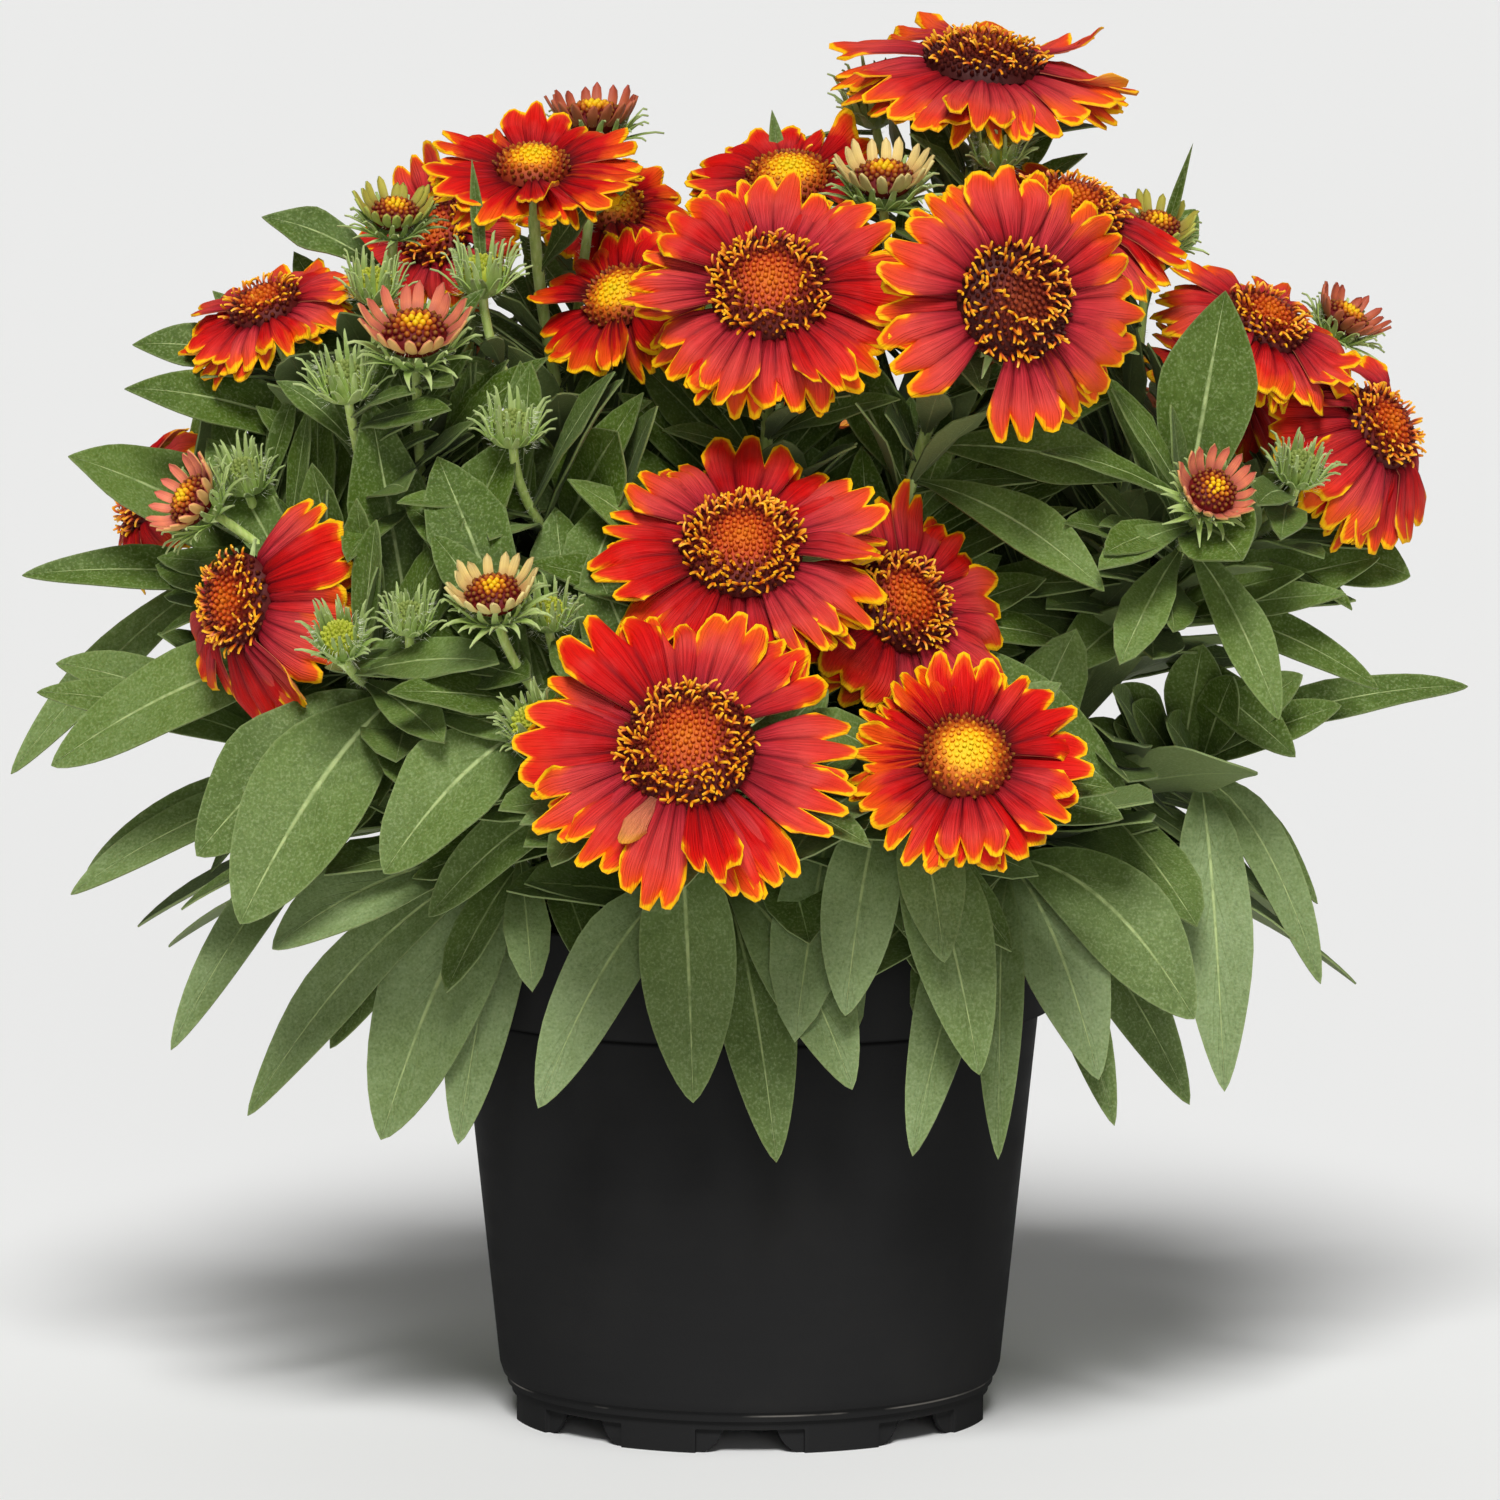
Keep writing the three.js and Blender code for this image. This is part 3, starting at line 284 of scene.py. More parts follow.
class Rail:
    """A stem's curve, with the coarse rail that leaf places are counted on and a fine one."""

    FINE = 60

    def __init__(self, corners, steps):
        self.corners = np.array(corners, float)
        self.coarse = self.spaced(steps)
        self.fine = self.spaced(self.FINE)

    def bezier(self, t):
        t = np.asarray(t, float)[:, None]
        foot, rise, arrive, end = self.corners
        return (1 - t) ** 3 * foot + 3 * t * (1 - t) ** 2 * rise + 3 * t * t * (1 - t) * arrive + t ** 3 * end

    def spaced(self, steps):
        """Points at even distances along the curve."""
        t = np.linspace(0, 1, 201)
        points = self.bezier(t)
        lengths = np.concatenate([[0], np.cumsum(np.linalg.norm(np.diff(points, axis=0), axis=1))])
        return self.bezier(np.interp(np.linspace(0, lengths[-1], steps + 1), lengths, t))

    @property
    def length(self):
        return float(np.linalg.norm(self.coarse[1] - self.coarse[0]) * (len(self.coarse) - 1))


def along(points, share):
    """The point at a share of a row of points, and the row's direction there."""
    place = share * (len(points) - 1)
    index = min(int(place), len(points) - 2)
    point = mix(points[index], points[index + 1], place - index)
    return point, unit(points[index + 1] - points[index])


def main_rail(foot, head):
    end = head.centre - head.normal * (CUP_DEPTH - CUP_SEAT)
    rise = end - foot
    before = end - head.normal * STEM_REACH * np.linalg.norm(rise)
    return Rail([foot, foot + rise * STEM_LEAN, before, end], STEM_STEPS)


def branch_rail(stem, fork, end, arrive):
    point, direction = along(stem["rails"][0].coarse, fork)
    span = np.linalg.norm(end - point)
    corners = [point, point + direction * STEM_REACH * span, end - arrive * STEM_REACH * span, end]
    return Rail(corners, BRANCH_STEPS)


def outward_look(place):
    outward = unit([place[0], place[1], 0]) * OUTWARD_LOOK
    return outward + np.array([0, 0, math.sqrt(1 - OUTWARD_LOOK ** 2)])


def lay_out_heads():
    """The rows of blooms and buds as dictionaries, each with its frame and its number."""
    more = {
        "bloom": ("rays", "droop", "disc_radius", "disc_height", "stem", "fork", "missing", "age"),
        "bud": ("stem", "fork", "colour"),
    }
    rows = {"bloom": BLOOMS, "bud": BUDS}
    heads = {"bloom": [], "bud": []}
    for sort, table in rows.items():
        for key, (name, x, y, z, radius, tilt, turn, *rest) in enumerate(table, 1):
            head = {"name": name, "key": key, "head": Head(x, y, z, tilt, turn), "radius": radius}
            heads[sort].append({**head, **dict(zip(more[sort], rest))})
    return heads["bloom"], heads["bud"]


def lay_out_stems(blooms, buds):
    stems = {}
    for bloom in blooms:
        if bloom["fork"] == 0:
            x, y, _ = bloom["head"].centre * ROOT_SPREAD
            rail = main_rail(np.array([x, y, STEM_BEND_Z]), bloom["head"])
            stems[bloom["stem"]] = {
                "number": bloom["stem"], "root": np.array([x, y, STEM_ROOT_Z]), "rails": [rail],
                "leaves": [], "blooms": [], "buds": [],
            }
    stems = {number: stems[number] for number in sorted(stems)}
    for bloom in blooms:
        stem = stems[bloom["stem"]]
        stem["blooms"].append(bloom)
        if bloom["fork"] > 0:
            end = bloom["head"].centre + bloom["head"].normal * (CUP_SEAT - CUP_DEPTH)
            stem["rails"].append(branch_rail(stem, bloom["fork"], end, bloom["head"].normal))
    for bud in buds:
        stem = stems[bud["stem"]]
        stem["buds"].append(bud)
        end = bud["head"].centre - bud["head"].normal * bud["radius"] * BUD_SEAT
        stem["rails"].append(branch_rail(stem, bud["fork"], end, bud["head"].normal))
    for x, y, z, number, fork in SHOOTS:
        stem = stems[number]
        stem["rails"].append(branch_rail(stem, fork, np.array([x, y, z], float), unit([x, y, 0])))
    return stems


def leaf_places(stems):
    """Places along every stem and branch where one leaf may grow."""
    places = []
    for stem in stems.values():
        for rail in stem["rails"]:
            count = max(2, math.floor(rail.length / NODE_SPACING + 0.5) - 1)
            for index in range(count):
                share = (index + 1) / (count + 1)
                point = along(rail.coarse, share)[0]
                places.append({"stem": stem, "rail": rail, "share": share, "point": point})
    return places


def lay_out_leaves(stems):
    places = leaf_places(stems)
    points = np.array([place["point"] for place in places])
    used = np.zeros(len(places), bool)

    def nearest(wanted):
        distances = np.linalg.norm(points - np.asarray(wanted, float), axis=1)
        distances[used] = np.inf
        best = int(np.argmin(distances))
        used[best] = True
        return places[best]

    leaves = []
    for rx, ry, rz, tx, ty, tz, width, arch in LEAVES:
        leaves.append({**nearest((rx, ry, rz)), "tip": np.array([tx, ty, tz], float), "width": width,
                       "arch": arch, "look": FRONT_LOOK})
    for index in range(BACK_LEAVES):
        angle = math.radians(mix(*BACK_ANGLES, index / (BACK_LEAVES - 1)))
        outward = np.array([math.cos(angle), math.sin(angle), 0])
        reach = mix(*BACK_TIP_RADIUS, scatter(index + BACK_REACH_KEY))
        tip = outward * reach + np.array([0, 0, mix(*BACK_TIP_Z, scatter(index + BACK_HEIGHT_KEY))])
        width = mix(*BACK_WIDTH, scatter(index + BACK_WIDTH_KEY))
        wanted = outward * BACK_ROOT_RADIUS + np.array([0, 0, BACK_ROOT_Z])
        leaves.append({**nearest(wanted), "tip": tip, "width": width, "arch": BACK_ARCH,
                       "look": outward_look(tip)})
    for stem in stems.values():
        rail = stem["rails"][0]
        for index, share in enumerate(SPIRAL_PLACES):
            point = along(rail.coarse, share)[0]
            angle = math.radians(stem["number"] * SPIRAL_STEM_TURN + index * SPIRAL_TURN)
            rank = index / (len(SPIRAL_PLACES) - 1)
            length = mix(*SPIRAL_LENGTH, rank) * mix(*SPIRAL_SPREAD, scatter(stem["number"] * 10 + index))
            climb = math.radians(mix(*SPIRAL_RISE, rank))
            tip = point + length * heading(climb, angle)
            leaves.append({"stem": stem, "rail": rail, "share": share, "point": point, "tip": tip,
                           "width": mix(*SPIRAL_WIDTH, rank), "arch": length * SPIRAL_ARCH,
                           "look": outward_look(tip)})
    return leaves


def turned_tip(leaf, turn, pitch, size):
    """The tip of a leaf that is turned, pitched and sized anew about its root."""
    span = leaf["tip"] - leaf["point"]
    angle = math.atan2(span[1], span[0]) + math.radians(turn)
    climb = math.atan2(span[2], math.hypot(span[0], span[1])) + math.radians(pitch)
    return leaf["point"] + np.linalg.norm(span) * size * heading(climb, angle)


def fit_leaf(leaf, tree):
    """The turn and size at which the solid stem holds this leaf, or False where it left it out."""
    for size in LEAF_SIZES:
        for turn, pitch in LEAF_TURNS:
            tip = turned_tip(leaf, turn, pitch, size)
            if tree.find(Vector(tip * MM))[2] < LEAF_MATCH * MM:
                leaf.update(tip=tip, width=leaf["width"] * size, arch=leaf["arch"] * size)
                return True
    return False


def fit_leaves(stems, leaves):
    """Gives each stem the leaves that its solid holds."""
    for number, stem in stems.items():
        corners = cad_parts[f"stem_{number:02d}"].data.vertices
        tree = kdtree.KDTree(len(corners))
        for index, corner in enumerate(corners):
            tree.insert(corner.co, index)
        tree.balance()
        own = [leaf for leaf in leaves if leaf["stem"] is stem]
        stem["leaves"] = [leaf for leaf in own if fit_leaf(leaf, tree)]


# More leaves placed one by one: x, y, z near the root, x, y, z of the tip, width.
MORE_LEAVES = [
    (116, -5, 184, 150, -30, 208, 13),
    (118, -5, 190, 161, -24, 199, 11),
    (120, -5, 196, 88, -38, 196, 16),
    (114, -5, 182, 82, -34, 184, 14),
    (122, -5, 204, 148, -34, 186, 13),
    (124, 0, 208, 163, -20, 224, 10),
    (126, 0, 212, 173, 2, 237, 20),
    (112, -5, 178, 98, -44, 205, 13),
    (120, 0, 200, 104, -36, 216, 13),
    (128, 0, 216, 150, -34, 236, 13),
    (119, -8, 192, 99, -26, 204, 15),
    (119, -8, 196, 98, -28, 192, 14),
    (117, -8, 186, 104, -30, 200, 12),
    (117, -8, 184, 123, -28, 216, 15),
    (121, -8, 192, 131, -34, 208, 13),
    (122, -8, 200, 112, -34, 190, 13),

    (88, 30, 300, 122, 20, 350, 3),
    (12, 15, 320, 6, 20, 359, 5),
    (-122, 0, 285, -147, 8, 314, 9),
    (-58, -25, 312, -75, -32, 348, 3.5),
    (-90, -60, 270, -74, -66, 299, 5),
]

# Leaves of that list that are narrower than this stay where it puts them.
NARROWEST = 6
MORE_ARCH = 3

# Small leaves that fill the room between the heads, kept clear of all the rest. They are shorter and
# narrower the higher they grow.
SMALL_LEAF_SPACING = 4
SMALL_LEAF_RANGE = (0.06, 0.93)
SMALL_LEAF_TRIES = 26
SMALL_LEAF_Z = (125, 330)
SMALL_LEAF_LENGTH = (78, 38)
SMALL_LEAF_WIDTH = (0.3, 0.21)
SMALL_LEAF_CLEARANCE = 1.4
SMALL_LEAF_APART = 2.2
SMALL_LEAF_SHARES = (0.3, 0.45, 0.6, 0.75, 0.88, 1)
RIB_BREADTH = 0.45

# They stay inside the outline of the solids, and out of the room before each head.
OUTLINE_MIDDLE_Z = 220
OUTLINE_SHARE = 0.97
OUTLINE_TURNS = (0, 45, 90, 135)
FACE_CLEARANCE = 42
HEAD_MARGIN = 3
FRONT = np.array([0, -0.9936, 0.1132])
FACING_LEAST = 0.25
FACE_SHARE = 0.92
BUD_SHARE = 1.2


def plant_solids():
    """The corners and faces of every solid of the plant and pot."""
    corners = []
    faces = []
    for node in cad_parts.values():
        first = len(corners)
        corners.extend(corner.co / MM for corner in node.data.vertices)
        faces.extend([first + index for index in face.vertices] for face in node.data.polygons)
    return corners, faces


class Outline:
    """How far the solids reach from the plant's middle in each direction, seen along a level line."""

    STEPS = 72

    def __init__(self, corners, turn):
        self.right = np.array([math.cos(math.radians(turn)), math.sin(math.radians(turn)), 0])
        step, reach = self.seen(np.array(corners))
        self.reach = np.zeros(self.STEPS)
        np.maximum.at(self.reach, step, reach)

    def seen(self, points):
        x = points @ self.right
        z = points[:, 2] - OUTLINE_MIDDLE_Z
        share = np.arctan2(z, x) / (2 * math.pi) + 0.5
        return np.floor(share * self.STEPS).astype(int) % self.STEPS, np.hypot(x, z)

    def holds(self, points):
        step, reach = self.seen(points)
        return np.all(reach < self.reach[step] * OUTLINE_SHARE)


def rib_points(leaf):
    """Points down the middle and both edges of a leaf."""
    root, tip = leaf["point"], leaf["tip"]
    middle = (root + tip) / 2 + np.array([0, 0, leaf["arch"]])
    v = np.array(SMALL_LEAF_SHARES)[:, None]
    rib = (1 - v) ** 2 * root + 2 * v * (1 - v) * middle + v ** 2 * tip
    across = unit(np.cross(tip - root, leaf["look"])) * leaf["width"] * RIB_BREADTH
    return np.vstack([rib, rib[1:-1] + across, rib[1:-1] - across])


def in_front_of_a_head(points, heads):
    for head, radius in heads:
        local = (points - head.centre) @ head.axes.T
        near = (local[:, 2] > -HEAD_MARGIN) & (local[:, 2] < FACE_CLEARANCE)
        if np.any(near & (np.hypot(local[:, 0], local[:, 1]) < radius)):
            return True
    return False


def hides_a_head(points, heads):
    """Whether a point lies between a head's face and somebody who looks at the plant from the front."""
    for head, radius in heads:
        facing = FRONT @ head.normal
        if facing > FACING_LEAST:
            height = (points - head.centre) @ head.normal
            behind = points - (height / facing)[:, None] * FRONT
            reach = np.linalg.norm(behind - head.centre, axis=1)
            if np.any((height > 0) & (reach < radius * FACE_SHARE)):
                return True
    return False


def small_leaf(stem, rail, share, rng):
    """A leaf that grows sideways and a little upwards, from a share of a rail."""
    point, tangent = along(rail.fine, share)
    low_z, high_z = SMALL_LEAF_Z
    rank = np.clip((point[2] - low_z) / (high_z - low_z), 0, 1)
    length = mix(*SMALL_LEAF_LENGTH, rank) * rng.uniform(0.6, 1.15)
    sideways = unit(np.cross(tangent, unit(rng.normal(0, 1, 3))))
    run = unit(sideways + tangent * rng.uniform(0.1, 1.1) + np.array([0, 0, rng.uniform(-0.2, 0.5)]))
    tip = point + run * length
    look = unit(0.5 * outward_look(tip + 1e-3) + np.array([0, -0.3, 0.5]))
    return {
        "stem": stem, "rail": rail, "share": share, "point": point, "tip": tip, "look": look,
        "width": length * mix(*SMALL_LEAF_WIDTH, rank) * rng.uniform(0.8, 1.2),
        "arch": length * rng.uniform(0.04, 0.16),
    }


def grow_more_leaves(stems, tree):
    """Adds the leaves of the second list, each turned to where it has room, and gives back their points."""
    taken = []
    places = leaf_places(stems)
    points = np.array([place["point"] for place in places])
    for rx, ry, rz, tx, ty, tz, width in MORE_LEAVES:
        place = places[int(np.argmin(np.linalg.norm(points - np.array([rx, ry, rz]), axis=1)))]
        leaf = {**place, "tip": np.array([tx, ty, tz], float), "width": width,
                "arch": MORE_ARCH, "look": FRONT_LOOK}
        tips = [turned_tip(leaf, turn, pitch, 1) for turn, pitch in LEAF_TURNS]
        rooms = [least_room({**leaf, "tip": tip}, tree) for tip in tips]
        clear = [tip for tip, room in zip(tips, rooms) if room > SMALL_LEAF_CLEARANCE]
        if width > NARROWEST:
            leaf["tip"] = clear[0] if clear else tips[int(np.argmax(rooms))]
        place["stem"]["leaves"].append(leaf)
        taken.append(rib_points(leaf))
    return np.vstack(taken)


def least_room(leaf, tree):
    """How far the nearest solid is from a leaf."""
    return min(tree.find_nearest(point)[3] for point in rib_points(leaf))


def has_room(points, heads, outlines, taken, tree):
    """Whether a leaf with these points keeps clear of heads, outlines, other leaves and solids."""
    if in_front_of_a_head(points, heads) or hides_a_head(points, heads):
        return False
    if not all(outline.holds(points) for outline in outlines):
        return False
    apart = np.linalg.norm(taken[:, None] - points[None], axis=2)
    if apart.min() < SMALL_LEAF_APART:
        return False
    return all(tree.find_nearest(point)[3] >= SMALL_LEAF_CLEARANCE for point in points)


def grow_inner_leaves(stems, blooms, buds):
    """Fills the room between the heads with the second list and with small leaves."""
    rng = np.random.default_rng(SEED * 29)
    corners, faces = plant_solids()
    tree = BVHTree.FromPolygons(corners, faces)
    taken = grow_more_leaves(stems, tree)
    outlines = [Outline(corners, turn) for turn in OUTLINE_TURNS]
    heads = [(bloom["head"], bloom["radius"]) for bloom in blooms]
    heads += [(bud["head"], bud["radius"] * BUD_SHARE) for bud in buds]
    for stem in stems.values():
        stem["small_leaves"] = []
        for rail in stem["rails"]:
            for share in np.linspace(*SMALL_LEAF_RANGE, int(rail.length / SMALL_LEAF_SPACING)):
                for _ in range(SMALL_LEAF_TRIES):
                    leaf = small_leaf(stem, rail, share, rng)
                    points = rib_points(leaf)
                    if has_room(points, heads, outlines, taken, tree):
                        stem["small_leaves"].append(leaf)
                        taken = np.vstack([taken, points])
                        break


# ---------------------------------------------------------------- first shapes, each made once


def start_fresh():
    if bpy.context.mode != "OBJECT":
        bpy.ops.object.mode_set(mode="OBJECT")
    bpy.ops.object.select_all(action="DESELECT")


def select_only(obj):
    bpy.ops.object.select_all(action="DESELECT")
    obj.select_set(True)
    bpy.context.view_layer.objects.active = obj


class Shape:
    """A small mesh kept as arrays, to be copied many times."""

    def __init__(self, obj):
        mesh = obj.data
        self.corners = np.empty(len(mesh.vertices) * 3, np.float32)
        mesh.vertices.foreach_get("co", self.corners)
        self.corners = self.corners.reshape(-1, 3).astype(float)
        self.loops = np.empty(len(mesh.loops), np.int32)
        mesh.loops.foreach_get("vertex_index", self.loops)
        self.sizes = np.array([len(face.vertices) for face in mesh.polygons], np.int32)
        bpy.data.objects.remove(obj)


def blade_shape(across, lengthwise, tip_crowding):
    """A closed thin plate: x from -1 to 1 across, y from 0 to 1 along, z from -0.5 to 0.5."""
    start_fresh()
    bpy.ops.mesh.primitive_grid_add(x_subdivisions=across, y_subdivisions=lengthwise, size=2)
    blade = bpy.context.object
    thickness = blade.modifiers.new("thickness", "SOLIDIFY")
    thickness.thickness = 1
    thickness.offset = 0
    bpy.ops.object.modifier_apply(modifier=thickness.name)
    shape = Shape(blade)
    share = (shape.corners[:, 1] + 1) / 2
    shape.corners[:, 1] = 1 - (1 - share) ** tip_crowding
    return shape


def tube_shape(sides, steps):
    """A closed round rod of radius 1 that runs from z 0 to 1."""
    start_fresh()
    bpy.ops.mesh.primitive_circle_add(vertices=sides, radius=1, fill_type="NGON")
    bpy.ops.object.mode_set(mode="EDIT")
    bpy.ops.mesh.select_all(action="SELECT")
    for _ in range(steps):
        bpy.ops.mesh.extrude_region_move(TRANSFORM_OT_translate={"value": (0, 0, 1 / steps)})
    bpy.ops.mesh.select_all(action="SELECT")
    bpy.ops.mesh.normals_make_consistent(inside=False)
    bpy.ops.object.mode_set(mode="OBJECT")
    return Shape(bpy.context.object)


def hair_shape():
    """A three-sided spike from z 0 to 1."""
    start_fresh()
    bpy.ops.mesh.primitive_cone_add(vertices=3, radius1=1, depth=1, location=(0, 0, 0.5))
    bpy.ops.object.transform_apply(location=True)
    return Shape(bpy.context.object)


def ball_shape(segments, rings):
    start_fresh()
    bpy.ops.mesh.primitive_uv_sphere_add(segments=segments, ring_count=rings, radius=1)
    return Shape(bpy.context.object)


def crumb_shape():
    start_fresh()
    bpy.ops.mesh.primitive_ico_sphere_add(subdivisions=1, radius=1)
    return Shape(bpy.context.object)


RAY = blade_shape(12, 8, 1.5)
SMALL_RAY = blade_shape(6, 5, 1.2)
LEAF = blade_shape(6, 16, 1.5)
SMALL_LEAF = blade_shape(4, 6, 1.4)
BRACT = blade_shape(2, 5, 1.2)
STEM = tube_shape(8, 20)
TENDRIL = tube_shape(4, 5)
HAIR = hair_shape()
BALL = ball_shape(5, 3)
DOME = ball_shape(20, 12)
CRUMB = crumb_shape()


# ---------------------------------------------------------------- gathering copies into a piece

NOTES = ("across", "along", "tone", "under", "edge")


class Piece:
    """Gathers bent and stamped copies of shapes, then makes one mesh of them."""

    def __init__(self, name):
        self.name = name
        self.corners = []
        self.loops = []
        self.sizes = []
        self.slots = []
        self.notes = {note: [] for note in NOTES}
        self.finishes = []
        self.count = 0

    def add(self, corners, loops, sizes, finish, **notes):
        if finish not in self.finishes:
            self.finishes.append(finish)
        self.corners.append(corners)
        self.loops.append(loops + self.count)
        self.sizes.append(sizes)
        self.slots.append(np.full(len(sizes), self.finishes.index(finish), np.int32))
        for note in NOTES:
            self.notes[note].append(np.broadcast_to(notes.get(note, 0.0), len(corners)))
        self.count += len(corners)

    def bent(self, shape, corners, finish, **notes):
        """One copy of a shape whose corners a rule has already moved."""
        self.add(corners, shape.loops, shape.sizes, finish, **notes)

    def stamped(self, shape, places, x_axes, y_axes, z_axes, finish, tones, shares):
        """Many copies, each at its place and with its own three axes."""
        count = len(places)
        if count == 0:
            return
        axes = np.stack([x_axes, y_axes, z_axes], axis=1)
        corners = places[:, None, :] + np.einsum("ck,nkd->ncd", shape.corners, axes)
        size = len(shape.corners)
        loops = (shape.loops[None, :] + (np.arange(count) * size)[:, None]).ravel()
        sizes = np.tile(shape.sizes, count)
        height = np.tile(shape.corners[:, 2], count)
        self.add(corners.reshape(-1, 3), loops, sizes, finish, tone=np.repeat(tones, size),
                 along=np.repeat(shares, size), across=height)

    def laid(self, shape, corners, finish, tone, turned=False, **notes):
        """One bent copy of a flat blade, with its places across and along it and its underside noted."""
        under = (shape.corners[:, 2] < 0) | turned
        self.bent(shape, corners, finish, across=shape.corners[:, 0], along=shape.corners[:, 1], tone=tone,
                  under=under.astype(float), **notes)

    def made(self, smooth_angle=50):
        corners = np.concatenate(self.corners) * MM
        loops = np.concatenate(self.loops).astype(np.int32)
        sizes = np.concatenate(self.sizes)
        mesh = bpy.data.meshes.new(self.name)
        mesh.vertices.add(len(corners))
        mesh.vertices.foreach_set("co", corners.astype(np.float32).ravel())
        mesh.loops.add(len(loops))
        mesh.loops.foreach_set("vertex_index", loops)
        mesh.polygons.add(len(sizes))
        starts = np.concatenate([[0], np.cumsum(sizes)[:-1]]).astype(np.int32)
        mesh.polygons.foreach_set("loop_start", starts)
        mesh.polygons.foreach_set("material_index", np.concatenate(self.slots))
        mesh.update(calc_edges=True)
        for note in NOTES:
            attribute = mesh.attributes.new(note, "FLOAT", "POINT")
            attribute.data.foreach_set("value", np.concatenate(self.notes[note]).astype(np.float32))
        for finish in self.finishes:
            mesh.materials.append(finish)
        obj = bpy.data.objects.new(self.name, mesh)
        bpy.context.scene.collection.objects.link(obj)
        select_only(obj)
        bpy.ops.object.shade_smooth_by_angle(angle=math.radians(smooth_angle))
        return obj


def settle(obj, slot, *nodes):
    """Hands a finished object to the frame."""
    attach(obj, "root")
    if nodes:
        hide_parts(*nodes)


# ---------------------------------------------------------------- finishes


def paint(red, green, blue):
    """A screen colour from 0 to 255 as the linear colour that a shader takes."""
    return tuple(((c / 255) / 12.92 if c / 255 <= 0.04045 else ((c / 255 + 0.055) / 1.055) ** 2.4)
                 for c in (red, green, blue)) + (1.0,)


class Value:
    """What a node gives. Sums with it add the nodes that work them out."""

    def __init__(self, coat, socket):
        self.coat = coat
        self.socket = socket

    def __add__(self, other):
        return self.coat.math("ADD", self, other)

    def __sub__(self, other):
        return self.coat.math("SUBTRACT", self, other)

    def __rsub__(self, other):
        return self.coat.math("SUBTRACT", other, self)

    def __mul__(self, other):
        return self.coat.math("MULTIPLY", self, other)

    def __truediv__(self, other):
        return self.coat.math("DIVIDE", self, other)

    def __abs__(self):
        return self.coat.math("ABSOLUTE", self)


class Finish:
    """A material, with short calls for the nodes that feed its shader."""

    def __init__(self, name, **sockets):
        self.material = bpy.data.materials.new(name)
        self.material.use_nodes = True
        self.nodes = self.material.node_tree.nodes
        self.links = self.material.node_tree.links
        self.shader = self.nodes["Principled BSDF"]
        for socket, value in sockets.items():
            plain = socket.replace("_", " ").title().replace("Ior", "IOR")
            self.shader.inputs[plain].default_value = value

    def feed(self, node, **values):
        """Links or sets inputs of a node, each named by its number, as in _0, or its label."""
        for name, value in values.items():
            numbered = name[1:].isdigit()
            socket = node.inputs[int(name[1:]) if numbered else name.replace("_", " ").title()]
            if isinstance(value, Value):
                self.links.new(value.socket, socket)
            else:
                socket.default_value = value

    def node(self, kind, output, settings=(), **values):
        """A new node with its settings and inputs, and what one of its outputs gives."""
        node = self.nodes.new(kind)
        for setting, value in dict(settings).items():
            setattr(node, setting, value)
        self.feed(node, **values)
        return Value(self, node.outputs[output])

    def note(self, name):
        """What the mesh notes at each corner under this name."""
        return self.node("ShaderNodeAttribute", "Fac", {"attribute_name": name})

    def place(self):
        return self.node("ShaderNodeTexCoord", "Object")

    def height(self):
        """Millimetres above the table."""
        return self.node("ShaderNodeSeparateXYZ", "Z", _0=self.place()) / MM

    def stretched(self, scale):
        """Places on the object with each axis scaled, for grain that runs one way."""
        return self.node("ShaderNodeMapping", "Vector", vector=self.place(), scale=scale)

    def noise(self, scale, detail, vector=None):
        return self.node("ShaderNodeTexNoise", "Fac", vector=vector or self.place(), scale=scale,
                         detail=detail)

    def math(self, operation, first, second=0.0):
        return self.node("ShaderNodeMath", 0, {"operation": operation}, _0=first, _1=second)

    def fraction(self, value):
        return self.math("FRACT", value)

    def swing(self, value, breadth):
        """A value that runs from 0 to 1, centred on 0 and made this broad."""
        return (value - 0.5) * breadth

    def vector(self, x, y, z):
        return self.node("ShaderNodeCombineXYZ", 0, _0=x, _1=y, _2=z)

    def level(self, factor, low, high, start=0.0, end=1.0):
        """A value that runs from start to end while the factor runs from low to high."""
        return self.node("ShaderNodeMapRange", 0, value=factor, from_min=low, from_max=high, to_min=start,
                         to_max=end)

    def blend(self, factor, first, second):
        """The first colour where the factor is 0 and the second where it is 1."""
        return self.node("ShaderNodeMix", 2, {"data_type": "RGBA"}, _0=factor, _6=first, _7=second)

    def saturated(self, colour, strength):
        return self.node("ShaderNodeHueSaturation", "Color", color=colour, saturation=strength)

    def ramp(self, factor, stops):
        """Colours from a row of stops: place, red, green, blue."""
        node = self.nodes.new("ShaderNodeValToRGB")
        self.feed(node, _0=factor)
        elements = node.color_ramp.elements
        while len(elements) < len(stops):
            elements.new(0.5)
        for element, (position, *colour) in zip(elements, stops):
            element.position = position
            element.color = paint(*colour)
        return Value(self, node.outputs["Color"])

    def colour(self, value):
        self.feed(self.shader, base_color=value)

    def bump(self, height, depth):
        """Relief of a depth in millimetres where the height runs from 0 to 1."""
        relief = self.node("ShaderNodeBump", 0, height=height, strength=1, distance=depth * MM)
        self.feed(self.shader, normal=relief)


